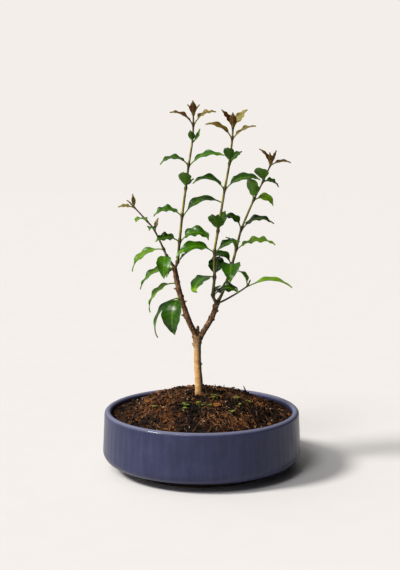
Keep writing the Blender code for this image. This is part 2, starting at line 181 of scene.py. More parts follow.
# Each leaf, as in the CAD: stem, corner of its route, letter, heading, rise at the stem, pitch at the tip,
# length, width and tilt.
LEAVES = {
    "leaf_green": [
        ("left", 5, "a", 185, 60, -60, 28, 10, 18),
        ("left", 5, "b", 355, 52, -22, 33, 10, 20),
        ("left", 4, "a", 262, 84, 0, 22, 13, 0),
        ("left", 4, "b", 80, 50, -20, 20, 11, 0),
        ("left", 3, "a", 178, 48, -52, 27, 11, 18),
        ("left", 3, "b", 5, 58, -22, 39, 12, 20),
        ("left", 2, "a", 195, 45, -45, 22, 11, 25),
        ("left", 2, "b", 350, 55, -45, 30, 12, 35),
        ("left", 1, "b", 350, 70, 20, 14, 7, 20),
        ("centre", 6, "a", 262, 84, 0, 22, 13, 0),
        ("centre", 6, "b", 45, 55, 10, 18, 9, 0),
        ("centre", 5, "a", 178, 60, -42, 31, 11, 20),
        ("centre", 5, "b", 355, 58, -28, 33, 11, 20),
        ("centre", 4, "a", 250, 80, 10, 22, 14, 0),
        ("centre", 4, "b", 62, 70, 30, 21, 11, 0),
        ("centre", 3, "a", 193, 40, -55, 37, 12, 30),
        ("centre", 3, "b", 350, 55, -5, 24, 11, 30),
        ("centre", 2, "a", 215, 28, -98, 29, 16, 5),
        ("centre", 2, "b", 75, 75, 10, 24, 14, 0),
        ("centre", 1, "b", 335, 50, -35, 26, 12, 30),
        ("right", 6, "a", 250, 84, 0, 19, 13, 0),
        ("right", 6, "b", 15, 30, -70, 16, 10, 20),
        ("right", 5, "a", 235, 85, 50, 24, 15, 0),
        ("right", 4, "a", 172, 80, -20, 22, 9, 25),
        ("right", 4, "b", 5, 55, -40, 32, 10, 20),
        ("right", 3, "a", 200, 85, 10, 15, 10, 0),
        ("right", 2, "a", 265, 30, -85, 31, 17, 0),
        ("right", 2, "b", 175, 80, -60, 24, 11, 25),
        ("side", 1, "a", 262, 5, -112, 28, 15, 0),
        ("left_limb", 3, "a", 243, -5, -148, 39, 19, 0),
        ("left_limb", 3, "b", 178, -8, -120, 45, 9, 25),
    ],
    "leaf_lime": [
        ("right", 5, "b", 355, 40, -75, 20, 10, 30),
        ("right", 3, "b", 355, 48, -34, 36, 10, 20),
        ("side", 4, "a", 225, 40, -40, 14, 9, 0),
        ("side", 2, "a", 182, 12, -85, 36, 11, 25),
        ("left_limb", 5, "a", 182, 15, -85, 36, 10, 25),
        ("left_limb", 4, "a", 182, 5, -105, 38, 10, 25),
        ("low", 4, "a", 355, 26, -28, 40, 10, 12),
        ("low", 4, "b", 165, 88, 20, 17, 9, 0),
    ],
    "leaf_copper": [
        ("left", 7, "a", 190, 70, -15, 24, 8, 25),
        ("left", 7, "b", 350, 70, -10, 24, 8, 25),
        ("centre", 7, "a", 185, 70, -15, 27, 8, 25),
        ("centre", 7, "b", 350, 60, -5, 23, 8, 25),
        ("centre", 8, "a", 155, 72, 40, 18, 7, 20),
        ("centre", 8, "b", 25, 68, 30, 20, 8, 20),
        ("right", 7, "a", 165, 75, 35, 17, 7, 20),
        ("right", 7, "b", 350, 40, -25, 18, 7, 20),
        ("side", 5, "a", 190, 30, -25, 14, 6, 20),
    ],
}

# How some leaves differ from the usual one: sway, twist and curl in degrees, wave in millimetres, and the
# fold as a share of the half width. Fullness is a factor on the width. Tone runs from deep, 0, to fresh,
# 0.6, and fresh_tip is added to it at the leaf's tip.
HABITS = {
    "left_limb_3a": {"sway": 0, "wave": 0.25, "fold": 0.3, "twist": 0, "curl": 25, "tone": 0.05},
    "left_limb_3b": {"wave": 0.5, "twist": 10, "curl": -10},
    "left_limb_4a": {"twist": 30, "wave": 0.8, "tone": 0.1},
    "left_limb_5a": {"twist": 20, "wave": 0.9},
    "side_2a": {"twist": 12, "wave": 0.9},
    "side_1a": {"fullness": 0.85, "fold": 0.28, "twist": 0, "curl": 0, "wave": 0.5, "tone": 0.3},
    "centre_2a": {"curl": -150, "sway": 6, "twist": 10, "wave": 0.5, "fold": 0.12, "tone": 0,
                  "fullness": 1.25, "fresh_tip": 1.6},
    "left_4a": {"fullness": 0.85, "fold": 0.16, "twist": 0, "sway": 0, "curl": 20, "wave": 0.3},
    "left_6a": {"fullness": 0.85, "fold": 0.2, "twist": 0, "sway": 0, "curl": 10, "wave": 0.2},
    "centre_6a": {"fullness": 0.72, "fold": 0.12, "twist": 0, "sway": 0, "curl": 10, "wave": 0.25},
    "centre_4a": {"fold": 0.16, "twist": 0, "curl": 20, "wave": 0.4},
    "right_6a": {"fold": 0.14, "twist": 0, "sway": 0, "curl": 10, "wave": 0.3},
    "right_5a": {"fold": 0.2, "twist": -15, "wave": 0.7},
    "left_2b": {"wave": 1.3, "curl": -60},
    "left_2a": {"wave": 1.2},
    "left_3a": {"wave": 1.1},
    "centre_3a": {"wave": 1.0},
    "right_3b": {"wave": 1.3},
    "side_4a": {"fullness": 1.4},
    "right_2a": {"fold": 0.3, "twist": 0, "sway": 0},
    "centre_7b": {"tone": 0.5},
    "centre_8b": {"tone": 0.6},
    "left_7b": {"tone": 0.35},
    "side_5a": {"tone": 0.5},
    "side_3b": {"tone": -0.1},
    "left_bud_c": {"tone": -0.12},
    "centre_bud_c": {"tone": -0.15},
    "centre_8a": {"tone": -0.2},
    "right_bud_c": {"tone": 0},
    "right_7a": {"fullness": 0.75},
    "centre_5a": {"fullness": 1.15},
    "centre_5b": {"fullness": 1.22, "wave": 0.45},
    "centre_1b": {"tone": -0.12, "wave": 1.4},
    "low_4b": {"tone": 0.1, "fullness": 1.3},
    "low_4a": {"wave": 0.4, "twist": 0},
}

# Leaves of the buds and small late leaves, which are too slight for a CAD solid of their own: stem, corner,
# letter, heading, rise, pitch, length, width and tilt, and for the late leaves their kind.
BUD_LEAVES = [
    ("left", 8, "c", 262, 86, 72, 13, 6.5, 0),
    ("left", 8, "d", 5, 78, 48, 10.5, 4.5, 10),
    ("left", 8, "e", 175, 80, 50, 10.5, 4.5, 10),
    ("centre", 8, "c", 265, 86, 74, 13, 6, 0),
    ("centre", 8, "d", 80, 84, 70, 11, 4.5, 0),
    ("right", 7, "c", 322, 70, 64, 14, 5.2, 0),
    ("right", 7, "d", 250, 84, 78, 11, 4, 0),
    ("side", 5, "c", 120, 74, 78, 12, 4, 0),
    ("side", 5, "d", 170, 62, 30, 9, 3, 0),
]
SMALL_LEAVES = [
    ("left", 6, "a", 255, 84, 30, 12, 7.5, 0, "leaf_green"),
    ("left", 6, "b", 20, 50, 75, 13, 4.5, 20, "leaf_green"),
    ("side", 3, "a", 250, 70, -60, 15, 8, 0, "leaf_green"),
    ("side", 3, "b", 60, 84, 40, 12, 3.4, 20, "leaf_copper"),
    ("left_limb", 5, "b", 235, 10, -80, 13, 6, 0, "leaf_green"),
    ("centre", 1, "a", 40, 75, 10, 11, 7, 0, "leaf_green"),
]

GOLDEN_ANGLE = 137  # degrees between one leaf of a seedling and the next
# Seedlings, as (x, y). The first SPROUT_LEADERS of them stand for the CAD's seedlings.
SPROUT_LEADERS = 3
SPROUTS = [
    (8, -32), (-14, -36), (30, -24), (-16.6, -29), (-11.5, -30.5), (-2.3, -33), (1, -33),
    (9.5, -18.2), (12.1, -13.5), (12.9, -17.2), (29.9, -13), (40.1, -13.8), (25.1, -39.5), (-39.4, -22.2),
]
# Bits of husk and twig that stand up out of the soil, as (x, y, height).
SPLINTERS = [
    (40, 8, 10), (33, 12, 3.5), (19, 24, 3), (12, 30, 2.5), (-24, 12, 3), (-29, 20, 2.5), (-8, 28, 2),
    (27, 20, 2.5), (44, 2, 3), (-38, 8, 2.5), (-46, -12, 2.5), (50, -20, 3), (18, -30, 2.5), (-22, -44, 2),
]
# Where coconut fibre is thickest, as (x, y, spread, how many strands).
FIBRE_CLUMPS = [
    (20, -46, 8, 170), (-40, 0, 9, 130), (-22, 8, 7, 50), (5, -50, 6, 50), (-52, -18, 7, 50),
    (36, 6, 9, 50), (10, 30, 14, 70), (-20, 42, 10, 30), (-30, -40, 9, 50), (52, -12, 9, 50),
]

# Studio
FLOOR_REACH = 3.0  # in metres
FLOOR_EDGES = 96
KEY_ANGLE, KEY_STRENGTH, KEY_RUNS = 14, 3.5, (0.68, 0.25, -0.69)
FILL_ANGLE, FILL_STRENGTH, FILL_RUNS = 18, 1.05, (0.32, 0.55, -0.77)
BRIGHT_SIDE = (-0.85, 0.12, 0.51)  # where the room is palest
ROOM_DIM, ROOM_BRIGHT = 0.015, 0.72
BACKDROP = 0.99  # what the camera sees of the room, as bright as the floor
CAMERA_PLACE = (-0.0015, -1.1, 0.325)  # in metres
CAMERA_TILT = 8.6  # degrees down
CAMERA_LENS = 82.86

pot_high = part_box("pot")[1] / MM
POT_HEIGHT = pot_high.z
POT_RADIUS = pot_high.x
rim_inner = POT_RADIUS - WALL_LEAN - WALL
soil_edge = POT_HEIGHT - SOIL_DROP
collar = Vector((TRUNK_X, 0, POT_HEIGHT + MOUND_RISE))

# Short dead stubs of old twigs on trunk and limbs, each from inside the wood to its tip.
TWIG_STUBS = [
    (collar + Vector(root), collar + Vector(tip)) for root, tip in (
        ((-9.8, -2.3, 66.5), (-15.4, -3.4, 68.8)),
        ((-16.3, -3.4, 89), (-21.4, -4.4, 91.6)),
        ((9.5, 1, 63), (14, 0.4, 63.6)),
        ((12.6, 1, 70), (17.0, 0.4, 71.4)),
        ((-1.5, 0, 42), (-6.2, -1.4, 43.4)),
        ((-14, -3, 79), (-9.9, -4, 80.6)),
        ((-1, 0, 25), (3.3, -0.6, 25.6)),
    )
]


# ---------------------------------------------------------------- materials

def linear(hex_colour):
    """An sRGB hex colour as the linear numbers that a shader takes."""
    channels = [int(hex_colour[i:i + 2], 16) / 255 for i in (0, 2, 4)]
    return (*[c / 12.92 if c <= 0.04045 else ((c + 0.055) / 1.055) ** 2.4 for c in channels], 1)


def per(size):
    """How many times a pattern of this size in millimetres repeats in a metre."""
    return 1 / (size * MM)


def add(tree, kind, settings=None, values=None, links=None):
    """Adds a node with its settings, its sockets' values and its links. A ramp's stops are a setting."""
    node = tree.nodes.new(kind)
    for name, setting in (settings or {}).items():
        if name == "stops":
            marks = node.color_ramp.elements
            while len(marks) < len(setting):
                marks.new(0.5)
            for mark, (position, colour) in zip(marks, setting):
                mark.position = position
                mark.color = linear(colour)
        else:
            setattr(node, name, setting)
    for name, value in (values or {}).items():
        node.inputs[name].default_value = value
    for name, socket in (links or {}).items():
        tree.links.new(socket, node.inputs[name])
    return node


def new_finish(name, roughness, ior):
    """A material with its shader and the object's own coordinates, in metres."""
    made = bpy.data.materials.new(name)
    made.use_nodes = True
    tree = made.node_tree
    shader = tree.nodes["Principled BSDF"]
    shader.inputs["Roughness"].default_value = roughness
    shader.inputs["IOR"].default_value = ior
    place = add(tree, "ShaderNodeTexCoord").outputs["Object"]
    return made, tree, shader, place


def slate_blue_glaze():
    """Thrown stoneware under a fired satin glaze: it pools dark in the flutes, breaks paler on the lip and a
    little on the ridges, has run down the wall in faint streaks, and is mottled every 14 mm or so. The fired
    surface gives a broad soft gloss with a thin clear layer over it."""
    made, tree, shader, place = new_finish("satin_slate_blue_stoneware_glaze", 0.4, 1.52)
    shader.inputs["Specular IOR Level"].default_value = 0.07
    shader.inputs["Coat Weight"].default_value = 0.26
    shader.inputs["Coat Roughness"].default_value = 0.1
    tall = add(tree, "ShaderNodeMapping", None, {"Scale": (1, 1, 0.12)}, {"Vector": place})
    runs = add(tree, "ShaderNodeTexNoise", None, {"Scale": per(5), "Detail": 4, "Roughness": 0.6},
               {"Vector": tall.outputs[0]})
    mottle = add(tree, "ShaderNodeTexNoise", None, {"Scale": per(14), "Detail": 5, "Roughness": 0.65},
                 {"Vector": place})
    both = add(tree, "ShaderNodeMath", {"operation": "ADD"}, None,
               {0: runs.outputs[0], 1: mottle.outputs[0]})
    half = add(tree, "ShaderNodeMath", {"operation": "MULTIPLY"}, {1: 0.5}, {0: both.outputs[0]})
    body = add(tree, "ShaderNodeValToRGB",
               {"stops": [(0.34, "2A2D47"), (0.5, "303350"), (0.68, "383B59")]}, None, {0: half.outputs[0]})
    ridge = add(tree, "ShaderNodeAttribute", {"attribute_name": "ridge"})
    thin = add(tree, "ShaderNodeMath", {"operation": "MULTIPLY"}, {1: 0.6}, {0: ridge.outputs["Fac"]})
    broken = add(tree, "ShaderNodeMix", {"data_type": "RGBA"}, {7: linear("9496B2")},
                 {0: thin.outputs[0], 6: body.outputs[0]})
    speck = add(tree, "ShaderNodeTexNoise", None, {"Scale": per(1.6), "Detail": 2}, {"Vector": place})
    iron = add(tree, "ShaderNodeMapRange", None, {1: 0.70, 2: 0.78, 3: 0, 4: 0.5}, {0: speck.outputs[0]})
    spotted = add(tree, "ShaderNodeMix", {"data_type": "RGBA"}, {7: linear("2B2A3E")},
                  {0: iron.outputs[0], 6: broken.outputs[2]})
    tree.links.new(spotted.outputs[2], shader.inputs["Base Color"])
    sheen = add(tree, "ShaderNodeMapRange", None, {1: 0.3, 2: 0.7, 3: 0.32, 4: 0.44}, {0: mottle.outputs[0]})
    tree.links.new(sheen.outputs[0], shader.inputs["Roughness"])
    peel = add(tree, "ShaderNodeTexNoise", None, {"Scale": per(3.5), "Detail": 3}, {"Vector": place})
    bump = add(tree, "ShaderNodeBump", None, {"Strength": 0.35, "Distance": 0.06 * MM},
               {"Height": peel.outputs[0]})
    tree.links.new(bump.outputs[0], shader.inputs["Normal"])
    return made


def bare_stoneware():
    """The foot ring, wiped clean of glaze: fired brown clay with grog, which looks dry and gritty."""
    made, tree, shader, place = new_finish("bare_fired_stoneware", 0.85, 1.5)
    grit = add(tree, "ShaderNodeTexNoise", None, {"Scale": per(1.2), "Detail": 5, "Roughness": 0.7},
               {"Vector": place})
    clay = add(tree, "ShaderNodeValToRGB", {"stops": [(0.35, "2A2320"), (0.55, "40342D"), (0.72, "65544A")]},
               None, {0: grit.outputs[0]})
    tree.links.new(clay.outputs[0], shader.inputs["Base Color"])
    bump = add(tree, "ShaderNodeBump", None, {"Strength": 0.6, "Distance": 0.15 * MM},
               {"Height": grit.outputs[0]})
    tree.links.new(bump.outputs[0], shader.inputs["Normal"])
    return made


def drain_plastic():
    """Moulded black polyethylene mesh: a fine grain from the mould dulls it, with soil dust on top."""
    made, tree, shader, place = new_finish("moulded_black_polyethylene", 0.55, 1.51)
    grain = add(tree, "ShaderNodeTexNoise", None, {"Scale": per(0.8), "Detail": 4}, {"Vector": place})
    dust = add(tree, "ShaderNodeValToRGB", {"stops": [(0.4, "141414"), (0.62, "1E1C1A"), (0.75, "3A2C20")]},
               None, {0: grain.outputs[0]})
    tree.links.new(dust.outputs[0], shader.inputs["Base Color"])
    bump = add(tree, "ShaderNodeBump", None, {"Strength": 0.4, "Distance": 0.05 * MM},
               {"Height": grain.outputs[0]})
    tree.links.new(bump.outputs[0], shader.inputs["Normal"])
    return made


def damp_peat():
    """Damp milled peat: crumbs of one to four millimetres, nearly black in the gaps and ginger-brown where
    a fibrous bit has dried, in drier and wetter patches. The tint of each loose bit makes it paler or
    darker than the bed that it lies on."""
    made, tree, shader, place = new_finish("damp_milled_peat", 0.88, 1.45)
    shader.inputs["Specular IOR Level"].default_value = 0.2
    crumb = add(tree, "ShaderNodeTexNoise", None, {"Scale": per(2.4), "Detail": 7, "Roughness": 0.72},
                {"Vector": place})
    patch = add(tree, "ShaderNodeTexNoise", None, {"Scale": per(22), "Detail": 3}, {"Vector": place})
    tint = add(tree, "ShaderNodeAttribute", {"attribute_name": "tint"})
    drier = add(tree, "ShaderNodeMapRange", None, {1: 0.40, 2: 0.60, 3: -0.08, 4: 0.10},
                {0: patch.outputs[0]})
    first = add(tree, "ShaderNodeMath", {"operation": "ADD"}, None,
                {0: crumb.outputs[0], 1: drier.outputs[0]})
    second = add(tree, "ShaderNodeMath", {"operation": "ADD"}, None,
                 {0: first.outputs[0], 1: tint.outputs["Fac"]})
    earth = add(tree, "ShaderNodeValToRGB",
                {"stops": [(0.39, "060301"), (0.50, "190C04"), (0.63, "3A1F0A"), (0.78, "8A5626")]},
                None, {0: second.outputs[0]})
    tree.links.new(earth.outputs[0], shader.inputs["Base Color"])
    bump = add(tree, "ShaderNodeBump", None, {"Strength": 0.9, "Distance": 0.5 * MM},
               {"Height": crumb.outputs[0]})
    tree.links.new(bump.outputs[0], shader.inputs["Normal"])
    return made


def coconut_fibre():
    """Coir, the fibre of coconut husk: stiff dry strands from dark rust to pale straw, a little shiny."""
    made, tree, shader, place = new_finish("dry_coconut_fibre", 0.6, 1.5)
    tint = add(tree, "ShaderNodeAttribute", {"attribute_name": "tint"})
    strand = add(tree, "ShaderNodeTexNoise", None, {"Scale": per(2), "Detail": 3}, {"Vector": place})
    mixed = add(tree, "ShaderNodeMath", {"operation": "MULTIPLY_ADD"}, {1: 0.3},
                {0: strand.outputs[0], 2: tint.outputs["Fac"]})
    rust = add(tree, "ShaderNodeValToRGB",
               {"stops": [(0.2, "2A1408"), (0.55, "6A3A18"), (0.85, "A2652F"), (1.0, "C8985E")]},
               None, {0: mixed.outputs[0]})
    tree.links.new(rust.outputs[0], shader.inputs["Base Color"])
    return made


def expanded_perlite():
    """Perlite, volcanic glass popped by heat: chalky off-white grains, stained in places by the peat."""
    made, tree, shader, place = new_finish("expanded_perlite", 0.8, 1.5)
    stain = add(tree, "ShaderNodeTexNoise", None, {"Scale": per(0.9), "Detail": 4}, {"Vector": place})
    chalk = add(tree, "ShaderNodeValToRGB", {"stops": [(0.3, "8C7A60"), (0.5, "C9BEAA"), (0.7, "E9E4DA")]},
                None, {0: stain.outputs[0]})
    tree.links.new(chalk.outputs[0], shader.inputs["Base Color"])
    bump = add(tree, "ShaderNodeBump", None, {"Strength": 0.5, "Distance": 0.1 * MM},
               {"Height": stain.outputs[0]})
    tree.links.new(bump.outputs[0], shader.inputs["Normal"])
    return made


def tree_bark():
    """Bark of a young trunk: smooth tan cork below the fork, and darker brown with short fissures on the
    limbs above it, with the dark lines of old leaf scars. Its dry cork has next to no gloss."""
    made, tree, shader, place = new_finish("young_cork_bark", 0.72, 1.46)
    tall = add(tree, "ShaderNodeMapping", None, {"Scale": (1, 1, 0.22)}, {"Vector": place})
    grain = add(tree, "ShaderNodeTexNoise", None, {"Scale": per(1.3), "Detail": 6, "Roughness": 0.68},
                {"Vector": tall.outputs[0]})
    blotch = add(tree, "ShaderNodeTexNoise", None, {"Scale": per(7), "Detail": 4, "Roughness": 0.6},
                 {"Vector": place})
    tan = add(tree, "ShaderNodeValToRGB", {"stops": [(0.3, "A2703E"), (0.48, "D2A468"), (0.66, "EAC890")]},
              None, {0: blotch.outputs[0]})
    brown = add(tree, "ShaderNodeValToRGB", {"stops": [(0.32, "2A180A"), (0.5, "7A5030"), (0.66, "C49C68")]},
                None, {0: grain.outputs[0]})
    limb = add(tree, "ShaderNodeAttribute", {"attribute_name": "limb"})
    aged = add(tree, "ShaderNodeMix", {"data_type": "RGBA"}, None,
               {0: limb.outputs["Fac"], 6: tan.outputs[0], 7: brown.outputs[0]})
    # The fissure mark darkens the bark at fissures and leaf scars, and on the +X side as painted shade.
    fissure = add(tree, "ShaderNodeAttribute", {"attribute_name": "fissure"})
    dark = add(tree, "ShaderNodeMix", {"data_type": "RGBA"}, {7: linear("20130A")},
               {0: fissure.outputs["Fac"], 6: aged.outputs[2]})
    tree.links.new(dark.outputs[2], shader.inputs["Base Color"])
    bump = add(tree, "ShaderNodeBump", None, {"Strength": 0.7, "Distance": 0.25 * MM},
               {"Height": grain.outputs[0]})
    tree.links.new(bump.outputs[0], shader.inputs["Normal"])
    return made


def shoot_bark():
    """Skin of this year's shoots: smooth waxy yellow-green with fine lengthwise streaks, turning to brown
    cork at each pair of leaves and at the tip, with painted shade browning its +X side, away from the key
    light."""
    made, tree, shader, place = new_finish("green_shoot_skin", 0.42, 1.45)
    tall = add(tree, "ShaderNodeMapping", None, {"Scale": (1, 1, 0.2)}, {"Vector": place})
    streak = add(tree, "ShaderNodeTexNoise", None, {"Scale": per(1.1), "Detail": 4},
                 {"Vector": tall.outputs[0]})
    green = add(tree, "ShaderNodeValToRGB", {"stops": [(0.3, "525010"), (0.5, "86842A"), (0.7, "B0AC4A")]},
                None, {0: streak.outputs[0]})
    brown = add(tree, "ShaderNodeValToRGB", {"stops": [(0.3, "180C05"), (0.5, "321C0D"), (0.7, "543619")]},
                None, {0: streak.outputs[0]})
    # The cork mark browns the skin at real cork, and on the +X side as painted shade.
    cork = add(tree, "ShaderNodeAttribute", {"attribute_name": "cork"})
    skin = add(tree, "ShaderNodeMix", {"data_type": "RGBA"}, None,
               {0: cork.outputs["Fac"], 6: green.outputs[0], 7: brown.outputs[0]})
    tree.links.new(skin.outputs[2], shader.inputs["Base Color"])
    bump = add(tree, "ShaderNodeBump", None, {"Strength": 0.4, "Distance": 0.12 * MM},
               {"Height": streak.outputs[0]})
    tree.links.new(bump.outputs[0], shader.inputs["Normal"])
    return made


def leaf_finish(name, deep, fresh, vein, roughness, gloss):
    """A leaf's face: its colour drifts from deep to fresh in patches of about 6 mm, and up to the colour of
    the veins where the leaf is freshest. The midrib and side veins are paler, and the wax on it gives a soft
    gloss that fine pores break up. They are drawn coarser than real ones, so that they show."""
    made, tree, shader, place = new_finish(name, roughness, 1.42)
    shader.inputs["Specular IOR Level"].default_value = 0.22
    shader.inputs["Coat Weight"].default_value = gloss
    shader.inputs["Coat Roughness"].default_value = 0.22
    cloud = add(tree, "ShaderNodeTexNoise", None, {"Scale": per(6), "Detail": 4}, {"Vector": place})
    tone = add(tree, "ShaderNodeAttribute", {"attribute_name": "tone"})
    shade = add(tree, "ShaderNodeMath", {"operation": "MULTIPLY_ADD"}, {1: 0.7},
                {0: cloud.outputs[0], 2: tone.outputs["Fac"]})
    green = add(tree, "ShaderNodeValToRGB", {"stops": [(0.2, deep), (0.68, fresh), (1.0, vein)]},
                None, {0: shade.outputs[0]})
    ribs = add(tree, "ShaderNodeAttribute", {"attribute_name": "rib"})
    veined = add(tree, "ShaderNodeMix", {"data_type": "RGBA"}, {7: linear(vein)},
                 {0: ribs.outputs["Fac"], 6: green.outputs[0]})
    tree.links.new(veined.outputs[2], shader.inputs["Base Color"])
    pores = add(tree, "ShaderNodeTexNoise", None, {"Scale": per(0.7), "Detail": 3}, {"Vector": place})
    bump = add(tree, "ShaderNodeBump", None, {"Strength": 0.25, "Distance": 0.06 * MM},
               {"Height": pores.outputs[0]})
    tree.links.new(bump.outputs[0], shader.inputs["Normal"])
    return made


def studio_floor():
    """Matt pale paper with the faintest tooth."""
    made, tree, shader, place = new_finish("pale_paper_sweep", 0.9, 1.45)
    tooth = add(tree, "ShaderNodeTexNoise", None, {"Scale": per(30), "Detail": 3}, {"Vector": place})
    paper = add(tree, "ShaderNodeValToRGB", {"stops": [(0.4, "D9D8D8"), (0.6, "DAD9D9")]}, None,
                {0: tooth.outputs[0]})
    tree.links.new(paper.outputs[0], shader.inputs["Base Color"])
    return made


# ---------------------------------------------------------------- shaping

def make_piece(name, points, faces, finishes, face_finish=None, marks=None, crease=50):
    """A piece from points in millimetres, riding on the object's one body. Marks are numbers for each point
    that its finish reads, and edges sharper than the crease, in degrees, aren't smoothed."""
    mesh = bpy.data.meshes.new(name)
    mesh.from_pydata((np.asarray(points, float) * MM).tolist(), [], faces)
    for finish in finishes:
        mesh.materials.append(finish)
    if face_finish is not None:
        mesh.polygons.foreach_set("material_index", np.asarray(face_finish, np.int32))
    for mark, values in (marks or {}).items():
        layer = mesh.attributes.new(mark, "FLOAT", "POINT")
        layer.data.foreach_set("value", np.asarray(values, np.float32))
    mesh.shade_smooth()
    mesh.set_sharp_from_angle(angle=math.radians(crease))
    mesh.update()
    piece = bpy.data.objects.new(name, mesh)
    bpy.context.scene.collection.objects.link(piece)
    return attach(piece, "root")


def wrapped(rows, columns, closed_rows=False):
    """Faces of a grid of points, row by row, that closes on itself across its columns."""
    faces = []
    last = rows if closed_rows else rows - 1
    for i in range(last):
        near, far = i * columns, (i + 1) % rows * columns
        for j in range(columns):
            k = (j + 1) % columns
            faces.append((near + j, near + k, far + k, far + j))
    return faces


def arc(centre, radius, start, end, steps):
    """Points (r, z) on an arc of a turned profile, with angles in degrees."""
    angles = [math.radians(start + (end - start) * i / steps) for i in range(steps + 1)]
    return [(centre[0] + radius * math.cos(a), centre[1] + radius * math.sin(a)) for a in angles]


def straight(start, end, steps):
    """Points between two of a profile, without the two themselves."""
    shares = [i / steps for i in range(1, steps)]
    return [(start[0] + (end[0] - start[0]) * s, start[1] + (end[1] - start[1]) * s) for s in shares]


def smooth_line(points, per_span):
    """A Catmull-Rom line through the points."""
    ends = [2 * points[0] - points[1], *points, 2 * points[-1] - points[-2]]
    line = []
    for a, b, c, d in zip(ends, ends[1:], ends[2:], ends[3:]):
        for i in range(per_span):
            t = i / per_span
            squared, cubed = (2 * a - 5 * b + 4 * c - d) * t**2, (3 * b - a - 3 * c + d) * t**3
            line.append(0.5 * (2 * b + (c - a) * t + squared + cubed))
    line.append(points[-1])
    return line


def tube(line, radii, sides):
    """Points and faces of a closed tube along a line, its rings turned as little as possible."""
    spans = [(b - a).normalized() for a, b in zip(line, line[1:])]
    tangents = [spans[0], *[(a + b).normalized() for a, b in zip(spans, spans[1:])], spans[-1]]
    across = tangents[0].orthogonal()
    turns = [2 * math.pi * i / sides for i in range(sides)]
    points = []
    for point, tangent, radius in zip(line, tangents, radii):
        across = (across - across.dot(tangent) * tangent).normalized()
        beside = tangent.cross(across)
        points += [point + radius * (math.cos(t) * across + math.sin(t) * beside) for t in turns]
    faces = wrapped(len(line), sides)
    faces.append(tuple(reversed(range(sides))))
    faces.append(tuple(range((len(line) - 1) * sides, len(line) * sides)))
    return points, faces


def joined(parts):
    """Several meshes' points and faces as one."""
    points, faces = [], []
    for more_points, more_faces in parts:
        base = len(points)
        points += more_points
        faces += [tuple(base + i for i in face) for face in more_faces]
    return points, faces


def placed(route):
    """A route of the tree in the pot's frame."""
    return [collar + Vector(p) for p in route]


def tapered(count, ends):
    """Radii that go evenly from one end's to the other's."""
    return [ends[0] + (ends[1] - ends[0]) * i / (count - 1) for i in range(count)]


# ---------------------------------------------------------------- pot

def pot_profile():
    """The pot's section from the drain hole up the inside, over the lip, down the wall and to the foot.
    Each point has the share of the flutes' depth that it takes, and whether the glaze covers it."""
    lip = WALL / 2
    wall_foot = FOOT_HEIGHT + UNDERCUT
    rim_outer = rim_inner + WALL
    floor_corner = (rim_inner - INNER_CORNER, FLOOR_TOP + INNER_CORNER)
    outer_corner = (POT_RADIUS - OUTER_CORNER, wall_foot + OUTER_CORNER)
    foot_inner = FOOT_RADIUS - FOOT_WIDTH
    inside = [
        (DRAIN_RADIUS, FLOOR_TOP - BEVEL),
        (DRAIN_RADIUS + BEVEL, FLOOR_TOP),
        *straight((DRAIN_RADIUS, FLOOR_TOP), (floor_corner[0], FLOOR_TOP), 8),
        *arc(floor_corner, INNER_CORNER, -90, 0, 8),
        *straight((rim_inner, FLOOR_TOP + INNER_CORNER), (rim_inner, POT_HEIGHT - lip), 10),
    ]
    over = arc((rim_inner + lip, POT_HEIGHT - lip), lip, 180, 0, 16)
    bowed = (rim_outer + WALL_LEAN * WALL_BOW[0], POT_HEIGHT * WALL_BOW[1])
    wall_top, wall_end = (rim_outer, POT_HEIGHT - lip), (POT_RADIUS, wall_foot + OUTER_CORNER)
    wall = []
    wall_rows = 24
    for i in range(1, wall_rows):
        t = i / wall_rows
        wall.append(tuple((1 - t) ** 2 * a + 2 * t * (1 - t) * b + t * t * c
                          for a, b, c in zip(wall_top, bowed, wall_end)))
    under = [
        *arc(outer_corner, OUTER_CORNER, 0, -84, 14),
        *straight((outer_corner[0], wall_foot), (FOOT_RADIUS, wall_foot), 4),
    ]
    foot = [
        (FOOT_RADIUS + 0.8, wall_foot - 0.2),
        (FOOT_RADIUS, wall_foot - 1.0),
        (FOOT_RADIUS - 0.7, 0.9),
        (FOOT_RADIUS - 1.4, 0.2),
        (FOOT_RADIUS - 2.0, 0),
        (foot_inner + 2.0, 0),
        (foot_inner + 1.4, 0.2),
        (foot_inner + 0.7, 0.9),
        (foot_inner, FOOT_HEIGHT - BEVEL),
        (foot_inner - BEVEL, FOOT_HEIGHT),
        *straight((foot_inner, FOOT_HEIGHT), (DRAIN_RADIUS, FOOT_HEIGHT), 6),
        (DRAIN_RADIUS + BEVEL, FOOT_HEIGHT),
        (DRAIN_RADIUS, FOOT_HEIGHT + BEVEL),
    ]
    rows = [(r, z, 0, 1) for r, z in inside]
    rows += [(r, z, 0, 1) for r, z in over]
    for r, z in wall:
        below = POT_HEIGHT - FLUTE_START - z
        rows.append((r, z, min(1, max(0, below / FLUTE_FADE)), 1))
    for r, z in under:
        out = r - outer_corner[0] - FLUTE_END
        rows.append((r, z, max(0, out / (OUTER_CORNER - FLUTE_END)) ** 0.5, 1))
    rows += [(r, z, 0, 0) for r, z in foot]
    return rows


